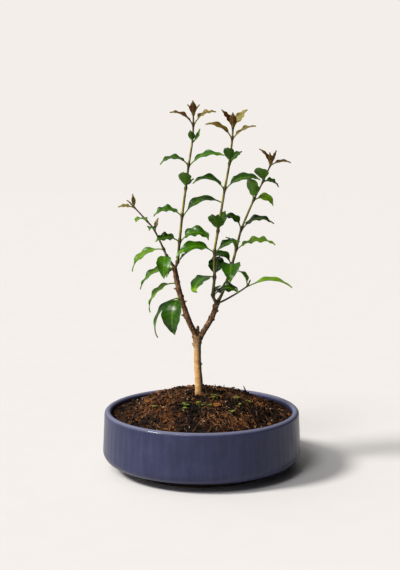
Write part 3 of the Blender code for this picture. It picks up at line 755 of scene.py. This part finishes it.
def make_pot(glaze, clay):
    """The pot, thrown a little out of true, with shallow flutes round its wall that are clearest on its two
    sides. Its foot is bare clay."""
    rows = pot_profile()
    points, ridge, glazed = [], [], []
    for r, z, fluted, covered in rows:
        for i in range(POT_STEPS):
            turn = 2 * math.pi * i / POT_STEPS
            wobble = OUT_OF_TRUE * math.sin(2 * turn + 0.7) + RIPPLE * math.sin(5 * turn + z * 0.05)
            crest = 0.5 + 0.5 * math.cos(FLUTES * turn)
            worn = 1 - FLUTE_WEAR * math.sin(turn) ** 2
            hollow = FLUTE_DEPTH * fluted * worn * (1 - crest ** 0.7)
            radius = r + (wobble if z > 2 else 0) * (0.5 if covered else 0) - hollow
            points.append((radius * math.cos(turn), radius * math.sin(turn), z))
            on_ridge = fluted * worn * crest ** 3 * RIDGE_BREAK
            on_lip = math.exp(-((z - POT_HEIGHT) / LIP_THINNING) ** 2) * LIP_BREAK
            ridge.append(min(1, on_ridge + on_lip) if covered else 0)
        glazed.append(covered)
    faces = [tuple(reversed(face)) for face in wrapped(len(rows), POT_STEPS, closed_rows=True)]
    kinds = []
    for i in range(len(rows)):
        bare = not glazed[i] or not glazed[(i + 1) % len(rows)]
        kinds += [1 if bare else 0] * POT_STEPS
    pot = make_piece("glazed_pot", points, faces, [glaze, clay], kinds, {"ridge": ridge}, 60)
    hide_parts("pot")
    return pot


# ---------------------------------------------------------------- soil

def soil_height(radius):
    """The soil's mean surface, as in the CAD."""
    ring_starts = rim_inner - MOAT_WIDTH
    if radius >= ring_starts:
        return soil_edge
    share = 1 - radius / ring_starts
    return soil_edge + (SOIL_DROP + MOUND_RISE) * math.sin(share * math.pi / 2) ** MOUND_FULLNESS


def soil_surface(x, y):
    """The soil's height at a place, in millimetres, with its clods and hollows, the crest behind the trunk
    and the slope up to the back. Its unevenness dies away towards the wall."""
    radius = math.hypot(x, y)
    here = Vector((x, y, 0))
    eased = 0.5 * (soil_height(max(0, radius - 4)) + soil_height(radius + 4))
    clods = CLOD_RISE * noise.fractal(here / CLOD, 0.9, 2.1, 3)
    crumbs = CRUMB_RISE * noise.fractal(here / CRUMB + UP * 7, 0.8, 2.0, 3)
    lumps = LUMP_RISE * abs(noise.noise(here / LUMP + UP * 3))
    wall_side = min(1, max(0, (rim_inner - radius) / 3))
    beside = abs(x - CREST_PLACE[0]) / CREST_REACH[0]
    behind = (y - CREST_PLACE[1]) / CREST_REACH[1]
    banked = CREST_RISE * math.exp(-beside ** 4 - behind ** 2)
    banked += BACK_RISE * min(1, max(0, (y + 30) / 50)) * min(1, radius / 50)
    return eased + banked + (clods + crumbs + lumps) * (0.35 + 0.65 * wall_side) - 0.5


def make_soil(peat):
    """The mound of potting soil as one closed body that fills the pot."""
    outer = rim_inner - 0.1
    points = []
    for i in range(SOIL_RINGS):
        radius = outer * (1 - i / SOIL_RINGS)
        for j in range(SOIL_STEPS):
            turn = 2 * math.pi * j / SOIL_STEPS
            x, y = radius * math.cos(turn), radius * math.sin(turn)
            points.append((x, y, soil_surface(x, y)))
    lower = [
        (outer, FLOOR_TOP + INNER_CORNER),
        (outer - 2, FLOOR_TOP + 2.6),
        (outer - 6.5, FLOOR_TOP + SOIL_GAP),
    ]
    for radius, z in lower:
        for j in range(SOIL_STEPS):
            turn = 2 * math.pi * j / SOIL_STEPS
            points.append((radius * math.cos(turn), radius * math.sin(turn), z))
    faces = wrapped(SOIL_RINGS, SOIL_STEPS)
    first = SOIL_RINGS * SOIL_STEPS
    for row in range(len(lower)):
        near = 0 if row == 0 else first + (row - 1) * SOIL_STEPS
        far = first + row * SOIL_STEPS
        for j in range(SOIL_STEPS):
            k = (j + 1) % SOIL_STEPS
            faces.append((far + j, far + k, near + k, near + j))
    top, base = len(points), len(points) + 1
    points += [(0, 0, soil_surface(0, 0)), (0, 0, FLOOR_TOP + SOIL_GAP)]
    inner = (SOIL_RINGS - 1) * SOIL_STEPS
    under = first + (len(lower) - 1) * SOIL_STEPS
    for j in range(SOIL_STEPS):
        k = (j + 1) % SOIL_STEPS
        faces.append((inner + j, inner + k, top))
        faces.append((under + k, under + j, base))
    soil = make_piece("soil_bed", points, faces, [peat], None, {"tint": [0.0] * len(points)}, 180)
    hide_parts("soil")
    return soil


def lump_shape():
    """A unit ball of 42 points, the start of every crumb."""
    golden = (1 + 5**0.5) / 2
    corners = []
    for a in (-1, 1):
        for b in (-golden, golden):
            corners += [(0, a, b), (a, b, 0), (b, 0, a)]
    points = [Vector(c).normalized() for c in corners]
    edge = min((points[0] - p).length for p in points[1:]) * 1.05
    near = [[j for j in range(12) if j != i and (points[i] - points[j]).length < edge] for i in range(12)]
    halves, faces = {}, []

    def middle(i, j):
        key = (min(i, j), max(i, j))
        if key not in halves:
            halves[key] = len(points)
            points.append((points[i] + points[j]).normalized())
        return halves[key]

    for i in range(12):
        for j in near[i]:
            for k in near[i]:
                if i < j < k and k in near[j]:
                    outward = (points[j] - points[i]).cross(points[k] - points[i]).dot(points[i]) > 0
                    a, b, c = (i, j, k) if outward else (i, k, j)
                    ab, bc, ca = middle(a, b), middle(b, c), middle(c, a)
                    faces += [(a, ab, ca), (b, bc, ab), (c, ca, bc), (ab, bc, ca)]
    return [tuple(p) for p in points], faces


def scatter(dice, count):
    """Places spread evenly over the soil, as (x, y) in millimetres."""
    places = []
    outer = rim_inner - 1.2
    while len(places) < count:
        radius = outer * math.sqrt(dice.uniform(0, 1))
        turn = dice.uniform(0, 2 * math.pi)
        places.append((radius * math.cos(turn), radius * math.sin(turn)))
    return places


def make_crumbs(name, finish, seed, count, sizes, tints, flatness, sunk):
    """Loose bits that lie on the soil, as one piece: lumps with dented faces, each turned its own way. Sizes
    are in millimetres, and sunk is the share of a bit's half height that its middle is above the soil."""
    dice = random.Random(seed)
    ball, ball_faces = lump_shape()
    points, faces, tint = [], [], []
    for x, y in scatter(dice, count):
        size = dice.uniform(*sizes) * dice.choice((0.7, 1, 1, 1.25))
        turn = Matrix.Rotation(dice.uniform(0, 6.28), 3, "Z") @ Matrix.Rotation(dice.gauss(0, 0.5), 3, "X")
        stretch = Vector((dice.uniform(0.8, 1.3), dice.uniform(0.6, 1.0), dice.uniform(*flatness)))
        shift = Vector((dice.random(), dice.random(), dice.random())) * 40
        centre = Vector((x, y, soil_surface(x, y) + size * 0.5 * stretch.z * sunk))
        base = len(points)
        for corner in ball:
            spot = Vector(corner)
            dent = 1 + 0.42 * noise.noise(spot * 1.4 + shift)
            local = Vector((spot.x * stretch.x, spot.y * stretch.y, spot.z * stretch.z)) * dent
            points.append(tuple(centre + turn @ local * size * 0.5))
        faces += [tuple(base + i for i in face) for face in ball_faces]
        tint += [dice.uniform(*tints)] * len(ball)
    crumbs = make_piece(name, points, faces, [finish], None, {"tint": tint}, 35)
    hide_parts("soil")
    return crumbs


def make_fibres(name, finish, seed, count, clumps):
    """Short strands of coconut fibre that lie on the soil and hop over its crumbs, thickest in a few
    clumps. A few of them stand up in a higher loop."""
    dice = random.Random(seed)
    parts, tint = [], []
    places = scatter(dice, count)
    for x, y, spread, more in clumps:
        places += [(dice.gauss(x, spread), dice.gauss(y, spread)) for _ in range(more)]
    for x, y in places:
        if math.hypot(x, y) > rim_inner - 4:
            continue
        length = dice.uniform(*FIBRE_LENGTHS)
        heading = dice.uniform(0, 2 * math.pi)
        bend = dice.uniform(-0.22, 0.22)
        hop = dice.uniform(0.1, 0.9) if dice.random() < 0.8 else dice.uniform(1, 2.4)
        line = []
        bits = 5
        for i in range(bits + 1):
            share = i / bits
            lift = math.sin(math.pi * share) * hop + 0.12
            line.append(Vector((x, y, soil_surface(x, y) + lift)))
            heading += bend + dice.gauss(0, 0.18)
            x += math.cos(heading) * length / bits
            y += math.sin(heading) * length / bits
        if math.hypot(x, y) > rim_inner - 1.5:
            continue
        thick = dice.uniform(*FIBRE_RADII)
        parts.append(tube(line, [thick, thick, thick, thick * 0.9, thick * 0.7, thick * 0.35], 5))
        tint += [dice.uniform(0.05, 0.85)] * len(parts[-1][0])
    points, faces = joined(parts)
    fibres = make_piece(name, points, faces, [finish], None, {"tint": tint}, 80)
    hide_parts("soil")
    return fibres


def make_splinters(finish, places):
    """Stiff bits of husk and twig that stand up out of the soil, a little askew."""
    dice = random.Random(17)
    parts, tint = [], []
    for x, y, height in places:
        foot = Vector((x, y, soil_surface(x, y) - 1))
        lean = Vector((dice.gauss(0, 0.2), dice.gauss(0, 0.2), 1))
        line = [foot + lean * (height + 1) * share for share in (0, 0.35, 0.7, 1)]
        line[2] += Vector((dice.gauss(0, 0.25), 0, 0))
        thick = 0.3 + 0.05 * height
        parts.append(tube(line, [thick, thick * 0.9, thick * 0.75, thick * 0.3], 7))
        tint += [dice.uniform(-0.15, 0.05)] * len(parts[-1][0])
    points, faces = joined(parts)
    splinters = make_piece("husk_splinters", points, faces, [finish], None, {"tint": tint}, 60)
    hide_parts("soil")
    return splinters


# ---------------------------------------------------------------- tree

def make_trunk(bark):
    """Trunk, limbs, pruned stub and old twig stubs grown into one body, with knobs at the fork and fissures
    on the limbs. Its +X side, away from the key light, is darkened as painted shade; soil has stained its
    foot."""
    route = smooth_line(placed(TRUNK_ROUTE), 4)
    stages = len(TRUNK_SWELL)
    swell = np.interp(np.linspace(0, stages - 1, len(route)), range(stages), TRUNK_SWELL) * TRUNK_RADIUS
    parts = [tube(route, [float(s) for s in swell], 20)]
    for limb in LIMBS.values():
        line = smooth_line(placed(limb["route"]), 5)
        radii = tapered(len(line), limb["radius"])
        centre, radius = line[-1], radii[-1]
        along = (line[-1] - line[-2]).normalized()
        # A rounded end.
        for angle in (25, 50, 75):
            line.append(centre + along * radius * math.sin(math.radians(angle)))
            radii.append(radius * math.cos(math.radians(angle)))
        parts.append(tube(line, radii, 16))
    for root, tip in TWIG_STUBS:
        line = [root, root.lerp(tip, 0.5), root.lerp(tip, 0.85), tip]
        parts.append(tube(line, [1.1, 0.85, 0.75, 0.4], 10))
    points, faces = joined(parts)
    rough = make_piece("bark_form", points, faces, [bark])
    remesh = rough.modifiers.new("grown", "REMESH")
    remesh.mode = "VOXEL"
    remesh.voxel_size = BARK_VOXEL * MM
    blend = rough.modifiers.new("blend", "SMOOTH")
    blend.factor = 0.5
    blend.iterations = 8
    bpy.context.view_layer.update()
    grown = bpy.data.meshes.new_from_object(rough.evaluated_get(bpy.context.evaluated_depsgraph_get()))
    bpy.data.objects.remove(rough)
    count = len(grown.vertices)
    spots = np.zeros(count * 3)
    normals = np.zeros(count * 3)
    grown.vertices.foreach_get("co", spots)
    grown.vertex_normals.foreach_get("vector", normals)
    spots, normals = spots.reshape(-1, 3) / MM, normals.reshape(-1, 3)
    fork = collar.z + FORK_RISE
    limb_share, fissures, moved = [], [], []
    knobs = bark_knobs()
    for spot, normal in zip(spots, normals):
        here = Vector(spot)
        above = min(1, max(0, (here.z - fork + 11) / 17))
        stretched = Vector((here.x, here.y, here.z * 0.3))
        crack = noise.noise(stretched / 1.1 + UP * 5)
        fissure = max(0, 1 - abs(crack) / 0.16) * above
        scar = max(0, 1 - abs(noise.noise(Vector((here.x * 0.1, here.y * 0.1, here.z / 1.7)))) / 0.1)
        ripple = 0.2 * noise.fractal(here / 4.5, 0.8, 2.0, 3) + 0.1 * above * noise.noise(here / 1.4)
        knob = sum(size * math.exp(-((here - centre).length / reach) ** 2) for centre, reach, size in knobs)
        earthy = 0.45 * math.exp(-(max(0, here.z - collar.z) / 5) ** 2)
        # Painted shade: the bark is darkened where it faces +X, away from the key light.
        painted_shade = 0.95 * min(1, max(0, (normal[0] - 0.1) / 0.6))
        limb_share.append(min(1, above + 0.3 * min(1, knob) + earthy))
        # The fissure mark holds real fissures and leaf scars, and the painted shade as well.
        fissures.append(min(0.92, 0.75 * fissure + 0.22 * scar * (0.3 + 0.7 * above) + painted_shade))
        moved.append(spot + normal * (ripple + knob - FISSURE_DEPTH * fissure - SCAR_DEPTH * scar))
    faces = [tuple(polygon.vertices) for polygon in grown.polygons]
    trunk = make_piece("trunk_and_limbs", moved, faces, [bark], None,
                       {"limb": limb_share, "fissure": fissures}, 180)
    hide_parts("trunk")
    return trunk


def bark_knobs():
    """Old leaf scars and pruning knobs on trunk and limbs: centre, reach and height in millimetres. The
    larger ones have their places, and the rest are strewn over the two limbs."""
    spots = [
        ((-4.2, -1, 42), 1.3, 0.5), ((2.6, -1, 47), 1.6, 0.5), ((-5.0, -1, 49), 1.2, 0.55),
        ((1.6, -1.5, 44), 1.2, 0.45), ((3.0, 0.5, 24), 1.0, 0.35), ((-4.4, 0, 9), 0.9, 0.3),
        ((-12, -3, 66), 1.3, 0.5), ((-9.5, -1.5, 62), 1.0, 0.4), ((-15.8, -3, 83), 1.2, 0.6),
        ((-13.6, -3, 84.5), 1.2, 0.5), ((-19.4, -4, 97), 1.2, 0.6), ((-16.6, -4, 97), 1.0, 0.4),
        ((9.2, 0, 66), 1.2, 0.5), ((12.4, 1, 66), 1.0, 0.45), ((12.2, 0, 75), 1.3, 0.45),
        ((17, 1, 78), 1.5, 0.6), ((-21.5, -5, 108), 1.5, 0.5), ((5.2, 0.5, 58), 1.0, 0.35),
    ]
    knobs = [(collar + Vector(centre), reach, KNOB_RISE * size) for centre, reach, size in spots]
    dice = random.Random(18)
    for limb in (LIMBS["left_limb"], LIMBS["right_limb"]):
        line = smooth_line(placed(limb["route"]), 5)
        for _ in range(18):
            at = dice.randrange(2, len(line) - 1)
            out = Vector((dice.gauss(0, 1), dice.gauss(0, 1), 0)).normalized()
            centre = line[at] + out * limb["radius"][1]
            knobs.append((centre, dice.uniform(0.6, 1.0), dice.uniform(0.25, 0.6)))
    return knobs


def shoot_line(shoot):
    """A shoot's line, from inside its limb's rounded end."""
    limb = LIMBS[shoot["limb"]]
    centre = placed(limb["route"])[-1]
    return smooth_line([centre, *placed(shoot["route"])], SPAN_STEPS)


def make_shoot(name, bark, dice):
    """A shoot that thickens at every pair of leaves and ends in a bud, with a small bud in each leaf's axil.
    Its skin is browned on the +X side, away from the key light, as painted shade."""
    shoot = SHOOTS[name]
    line = shoot_line(shoot)
    nodes = sorted({row[1] for rows in LEAVES.values() for row in rows if row[0] == name})
    radii, cork = [], []
    count = len(line)
    for i, radius in enumerate(tapered(count, shoot["radius"])):
        reach = min(((line[i] - line[c * SPAN_STEPS]).length for c in nodes if c), default=99)
        joint = math.exp(-(reach / 1.5) ** 2)
        root = math.exp(-(i / SPAN_STEPS / 0.35) ** 2) if name != "low" else 0
        uneven = 0.07 * noise.noise(line[i] / 3)
        radii.append(radius * (1 + JOINT_SWELL * joint + ROOT_SWELL * root + uneven))
        share = i / (count - 1)
        young = max(0, (share - 0.86) / 0.14)
        base = max(0, 1 - share / 0.1)
        rusty = 0.7 if name in ("side", "low") else 0.12
        patch = 0.55 * max(0, noise.noise(line[i] / 9 + UP * 11)) + rusty
        cork.append(min(1, max(0.95 * math.exp(-(reach / 3.0) ** 2), young, base, patch)))
    end, along = line[-1], (line[-1] - line[-2]).normalized()
    for share, swell in ((0.25, 1.25), (0.5, 1.3), (0.8, 0.8), (1.0, 0.25)):
        line.append(end + share * BUD_LENGTH * along)
        radii.append(shoot["radius"][1] * swell)
        cork.append(1)
    parts = [tube(line, radii, SHOOT_SIDES)]
    marks = []
    for i, point in enumerate(parts[0][0]):
        centre = line[i // SHOOT_SIDES]
        # Painted shade: the skin turns brown where it faces +X, away from the key light.
        shaded = (point - centre).normalized().x
        marks.append(min(1, cork[i // SHOOT_SIDES] + 1.1 * max(0, shaded + 0.3)))
    for rows in LEAVES.values():
        for row in rows:
            if row[0] == name and row[1] < len(shoot["route"]):
                bud = axil_bud(row, dice)
                parts.append(bud)
                marks += [0.45] * len(bud[0])
    points, faces = joined(parts)
    piece = make_piece(f"stem_{name}", points, faces, [bark], None, {"cork": marks}, 70)
    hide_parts(f"shoot_{name}")
    return piece


def node_of(stem, corner):
    """Where a corner of a stem's route is, the way the stem runs there, and its radius."""
    if stem in LIMBS:
        route, ends = placed(LIMBS[stem]["route"]), LIMBS[stem]["radius"]
    else:
        centre = placed(LIMBS[SHOOTS[stem]["limb"]]["route"])[-1]
        route, ends = [centre, *placed(SHOOTS[stem]["route"])], SHOOTS[stem]["radius"]
    after = min(corner + 1, len(route) - 1)
    along = (route[after] - route[corner - 1]).normalized()
    return route[corner], along, tapered(len(route), ends)[corner]


def leaf_start(row):
    """The stem's node, the stalk's start beside the stem, the leaf's level heading, the way the stem runs,
    and the way out from it."""
    stem, corner, _, heading = row[:4]
    node, stem_along, stem_radius = node_of(stem, corner)
    turn = math.radians(heading)
    out = Vector((math.cos(turn), math.sin(turn), 0))
    away = (out - out.dot(stem_along) * stem_along).normalized()
    return node, node + away * stem_radius * 0.9, out, stem_along, away


def axil_bud(row, dice):
    """The pointed resting bud between a leaf's stalk and the stem above it."""
    node, start, _, stem_along, away = leaf_start(row)
    base = node + away * (start - node).length * 0.6 + stem_along * 0.5
    length = dice.uniform(1.4, 2.4)
    lean = (stem_along + away * 0.45).normalized()
    line = [base + lean * length * s for s in (0, 0.3, 0.6, 0.85, 1)]
    return tube(line, [0.35, 0.55, 0.5, 0.3, 0.06], 8)


def blade_width(share):
    """An ovate leaf's width along its blade, as a share of its widest, with a drawn-out tip."""
    if not 0 < share < 1:
        return 0
    return math.sin(math.pi * share**0.8) ** 0.9 * (1 - 0.4 * share**3)


def make_leaf(row, name, faces_finish):
    """A leaf as one closed body: stalk, blade folded up along its midrib, wavy margins, sunken veins. It is
    a tube of rings that start inside the stem, each flattened to the blade's section at that place."""
    dice = random.Random(name)
    habit = HABITS.get(name, {})
    node, start, out, _, _ = leaf_start(row)
    heading, rise, pitch, length, width, tilt = row[3:]
    stalk = min(LONGEST_STALK, length * 0.14)
    sway = habit.get("sway", dice.uniform(-9, 9))
    nod = dice.uniform(-7, 7)
    curl = habit.get("curl", dice.uniform(-25, 5))
    wave = habit.get("wave", dice.uniform(0.5, 0.95)) * min(1, length / 24)
    fold = habit.get("fold", BLADE_FOLD * dice.uniform(0.8, 1.35))
    twist = habit.get("twist", dice.uniform(-14, 14))
    fullness = habit.get("fullness", 1.0)
    crests = dice.uniform(2.8, 4.2)
    phases = (dice.uniform(0, 6.28), dice.uniform(0, 6.28))
    roll = tilt if out.x > 0 else -tilt
    evenly = [2 * j / (LEAF_COLUMNS - 1) - 1 for j in range(LEAF_COLUMNS)]
    columns = [0.35 * math.sin(math.pi / 2 * u) + 0.65 * u for u in evenly]
    ring = [(u, 1) for u in columns] + [(u, -1) for u in reversed(columns[1:-1])]
    points, ribs = [], []
    step = length / LEAF_STATIONS
    point = start
    for i in range(-1, LEAF_STATIONS + 1):
        share = max(0, i) / LEAF_STATIONS
        blade = (share * length - stalk) / (length - stalk)
        turn = math.radians(heading + sway * math.cos(2 * math.pi * share))
        tip = max(0, (share - 0.72) / 0.28)
        slope = rise + (pitch - rise) * share + nod * math.sin(2 * math.pi * share)
        bend = math.radians(slope + curl * tip**2)
        level = Vector((math.cos(turn), math.sin(turn), 0))
        side = Vector((-math.sin(turn), math.cos(turn), 0))
        along = level * math.cos(bend) + UP * math.sin(bend)
        upper = along.cross(side)
        angle = math.radians(roll * min(1, 3 * share) + twist * max(0, blade))
        spin = Matrix.Rotation(angle, 3, along)
        broad = blade_width(blade) * width / 2 * fullness
        half = max(PETIOLE * (1 if i > 0 else 1.35), broad)
        open_blade = min(1, max(0, (broad - PETIOLE) / 1.6))
        for u, face in ring:
            edge = abs(u)
            raised = fold * edge**1.25 * (half - PETIOLE) if half > PETIOLE else 0
            raised -= 0.07 * half * math.sin(math.pi * edge) * open_blade
            phase = phases[0] if u > 0 else phases[1]
            raised += wave * edge**2.2 * open_blade * math.sin(2 * math.pi * crests * share + phase)
            vein = vein_at(blade, edge)
            raised -= VEIN_SINK * vein * open_blade
            midrib = math.exp(-(edge * half / RIB_WIDTH) ** 2)
            thin = (MARGIN + MIDDLE * (1 - edge)) * (1 - edge**8)
            keel = KEEL * math.exp(-(edge * half / KEEL_WIDTH) ** 2)
            groove = GROOVE * midrib
            depth = thin - groove * open_blade if face > 0 else -(thin + keel)
            round_stalk = face * PETIOLE * math.sqrt(max(0, 1 - u * u))
            height = raised + depth * open_blade + round_stalk * (1 - open_blade)
            ripple = 1 + 0.035 * math.sin(2 * math.pi * crests * 1.7 * share + phase)
            local = side * u * half * ripple + upper * height
            points.append((point if i >= 0 else node) + spin @ local)
            pale = (RIB_SHADE * midrib + VEIN_SHADE * vein * (1 - edge)) * open_blade
            ribs.append(min(1, pale + STALK_SHADE * (1 - open_blade)))
        if i >= 0:
            point = point + along * step
    across = len(ring)
    last = (LEAF_STATIONS + 1) * across
    end = sum(points[last:], Vector()) / across
    points = [*points[:last], end]
    ribs = [*ribs[:last], TIP_SHADE]
    faces = wrapped(LEAF_STATIONS + 1, across)
    faces.append(tuple(reversed(range(across))))
    final = last - across
    faces += [(final + j, final + (j + 1) % across, last) for j in range(across)]
    band = [0 if j < LEAF_COLUMNS - 1 else 1 for j in range(across)]
    kinds = band * LEAF_STATIONS + [1] + band
    base_tone = habit.get("tone", dice.uniform(-0.12, 0.3))
    tone = [base_tone + habit.get("fresh_tip", 0) * (i / len(points)) ** 5 for i in range(len(points))]
    faces = [tuple(reversed(face)) for face in faces]
    leaf = make_piece(name, points, faces, faces_finish, kinds, {"rib": ribs, "tone": tone}, 65)
    return leaf


def vein_at(blade, edge):
    """How near a point of the blade is to a side vein, from 0 to 1. The veins sweep towards the tip."""
    if not 0 < blade < 0.96:
        return 0
    row = blade * VEIN_PAIRS * 1.15 - edge * 0.9
    off = abs(row - round(row))
    return max(0, 1 - off / 0.16) * (1 - edge**4)


def make_sprout(index, place, finish, dice):
    """A seedling: a thin stalk with two to four small round leaves."""
    x, y = place
    ground = soil_surface(x, y) - 0.6
    height = dice.uniform(2.6, 4.6)
    foot = Vector((x, y, ground))
    lean = Vector((dice.gauss(0, 0.25), dice.gauss(0, 0.25), 1)).normalized()
    top = foot + lean * height
    parts = [tube([foot, foot + lean * height * 0.5, top], [0.28, 0.24, 0.2], 7)]
    start = dice.uniform(0, 360)
    for k in range(dice.choice((2, 3, 4))):
        turn = math.radians(start + k * GOLDEN_ANGLE + dice.uniform(-20, 20))
        out = Vector((math.cos(turn), math.sin(turn), 0))
        side = Vector((-math.sin(turn), math.cos(turn), 0))
        size = dice.uniform(1.3, 2.4)
        climb = dice.uniform(0.05, 0.7)
        rows, columns = 7, 8
        points = []
        for i in range(rows):
            share = i / (rows - 1)
            half = max(0.14, size * 0.62 * math.sin(math.pi * min(0.97, share**0.9)))
            centre = top + out * size * 1.5 * share + UP * (climb * size * share * (1.6 - share) - 0.2)
            for j in range(columns):
                angle = 2 * math.pi * j / columns
                cup = 0.18 * abs(math.cos(angle)) * half
                points.append(centre + side * half * math.cos(angle) + UP * (0.13 * math.sin(angle) + cup))
        faces = wrapped(rows, columns)
        faces.append(tuple(reversed(range(columns))))
        faces.append(tuple(range((rows - 1) * columns, rows * columns)))
        parts.append((points, faces))
    points, faces = joined(parts)
    tone = [dice.uniform(0, 0.4)] * len(points)
    sprout = make_piece(f"sprout_{index}", points, faces, [finish], None,
                        {"rib": [0.1] * len(points), "tone": tone}, 60)
    if index <= SPROUT_LEADERS:
        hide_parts(f"seedling_{index}")
    return sprout


# ---------------------------------------------------------------- studio

def make_studio(paper):
    """A plain pale floor, a large soft light high on the left and a weaker one from the front, in a room
    that is dim to the right. The camera sees it as pale as the floor."""
    turns = [2 * math.pi * i / FLOOR_EDGES for i in range(FLOOR_EDGES)]
    edge = [(FLOOR_REACH * math.cos(t), FLOOR_REACH * math.sin(t), 0) for t in turns]
    mesh = bpy.data.meshes.new("floor")
    mesh.from_pydata(edge, [], [tuple(range(FLOOR_EDGES))])
    mesh.materials.append(paper)
    floor = bpy.data.objects.new("floor", mesh)
    bpy.context.scene.collection.objects.link(floor)
    lights = (
        ("key", KEY_ANGLE, KEY_STRENGTH, "FFFAF3", KEY_RUNS),
        ("front_fill", FILL_ANGLE, FILL_STRENGTH, "FFFFFF", FILL_RUNS),
    )
    for name, angle, strength, colour, runs in lights:
        lamp = bpy.data.lights.new(name, "SUN")
        lamp.angle = math.radians(angle)
        lamp.energy = strength
        lamp.color = linear(colour)[:3]
        light = bpy.data.objects.new(name, lamp)
        light.rotation_euler = Vector(runs).to_track_quat("-Z", "Y").to_euler()
        bpy.context.scene.collection.objects.link(light)
    world = bpy.data.worlds.new("pale_room")
    world.use_nodes = True
    tree = world.node_tree
    backdrop = tree.nodes["Background"]
    backdrop.inputs["Color"].default_value = linear("F4EFEA")
    direction = add(tree, "ShaderNodeTexCoord").outputs["Generated"]
    towards = add(tree, "ShaderNodeVectorMath", {"operation": "DOT_PRODUCT"}, {1: BRIGHT_SIDE},
                  {0: direction})
    room = add(tree, "ShaderNodeMapRange", None, {1: -0.1, 2: 1.0, 3: ROOM_DIM, 4: ROOM_BRIGHT},
               {0: towards.outputs["Value"]})
    seen = add(tree, "ShaderNodeLightPath").outputs["Is Camera Ray"]
    strength = add(tree, "ShaderNodeMix", {"data_type": "FLOAT"}, {3: BACKDROP},
                   {0: seen, 2: room.outputs[0]})
    tree.links.new(strength.outputs[0], backdrop.inputs["Strength"])
    bpy.context.scene.world = world
    bpy.context.scene.view_settings.view_transform = "Standard"


def make_camera():
    """Straight on to the front from a little over a metre away, looking slightly down."""
    camera = bpy.data.cameras.new("camera")
    camera.sensor_width = 36
    camera.lens = CAMERA_LENS
    stand = bpy.data.objects.new("camera", camera)
    stand.location = CAMERA_PLACE
    stand.rotation_euler = (math.radians(90 - CAMERA_TILT), 0, 0)
    bpy.context.scene.collection.objects.link(stand)
    bpy.context.scene.camera = stand


def main():
    """Makes every finish, then the pot, soil and tree in it, then the studio."""
    glaze, clay, plastic = slate_blue_glaze(), bare_stoneware(), drain_plastic()
    peat, coir, perlite = damp_peat(), coconut_fibre(), expanded_perlite()
    bark, skin = tree_bark(), shoot_bark()
    underside = leaf_finish("pale_leaf_underside", "264808", "446C12", "66862C", 0.5, 0.0)
    fresh_under = leaf_finish("lime_leaf_underside", "4A7A1C", "74A034", "96B454", 0.55, 0.0)
    copper_under = leaf_finish("copper_leaf_underside", "4E2A0E", "6C5A24", "7C7438", 0.5, 0.0)
    mature = leaf_finish("waxy_mature_leaf", "0B2400", "316200", "7AA61E", 0.34, 0.2)
    lime = leaf_finish("fresh_lime_leaf", "34600A", "668E10", "88A42C", 0.40, 0.1)
    copper = leaf_finish("young_copper_leaf", "4C2006", "6A581A", "7E7434", 0.42, 0.15)
    faces = {
        "leaf_green": [mature, underside],
        "leaf_lime": [lime, fresh_under],
        "leaf_copper": [copper, copper_under],
    }
    sprout_green = leaf_finish("tender_seedling_leaf", "34440E", "788E30", "94A454", 0.45, 0.1)

    make_pot(glaze, clay)
    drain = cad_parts["drain_mesh"]
    drain.data.materials.clear()
    drain.data.materials.append(plastic)
    make_soil(peat)
    make_crumbs("peat_crumbs", peat, 11, 1500, (0.9, 2.6), (-0.14, 0.10), (0.6, 1.0), 0.5)
    make_crumbs("bark_chips", peat, 12, 130, (2.4, 4.6), (-0.02, 0.24), (0.25, 0.45), 0.6)
    make_crumbs("perlite_grains", perlite, 13, 70, (0.7, 1.5), (0, 0), (0.7, 1.0), 0.5)
    make_fibres("coir_fibres", coir, 14, 900, FIBRE_CLUMPS)
    make_splinters(peat, SPLINTERS)
    make_trunk(bark)
    dice = random.Random(15)
    for name in SHOOTS:
        make_shoot(name, skin, dice)
    for slot, rows in LEAVES.items():
        for row in rows:
            name = f"{row[0]}_{row[1]}{row[2]}"
            leaf = make_leaf(row, name, faces[slot])
            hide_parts(f"leaf_{name}")
    for row in SMALL_LEAVES:
        make_leaf(row[:-1], f"{row[0]}_{row[1]}{row[2]}", faces[row[-1]])
    for row in BUD_LEAVES:
        make_leaf(row, f"{row[0]}_bud_{row[2]}", faces["leaf_copper"])
    dice = random.Random(16)
    for index, place in enumerate(SPROUTS, 1):
        make_sprout(index, place, sprout_green, dice)
    make_studio(studio_floor())
    make_camera()


main()
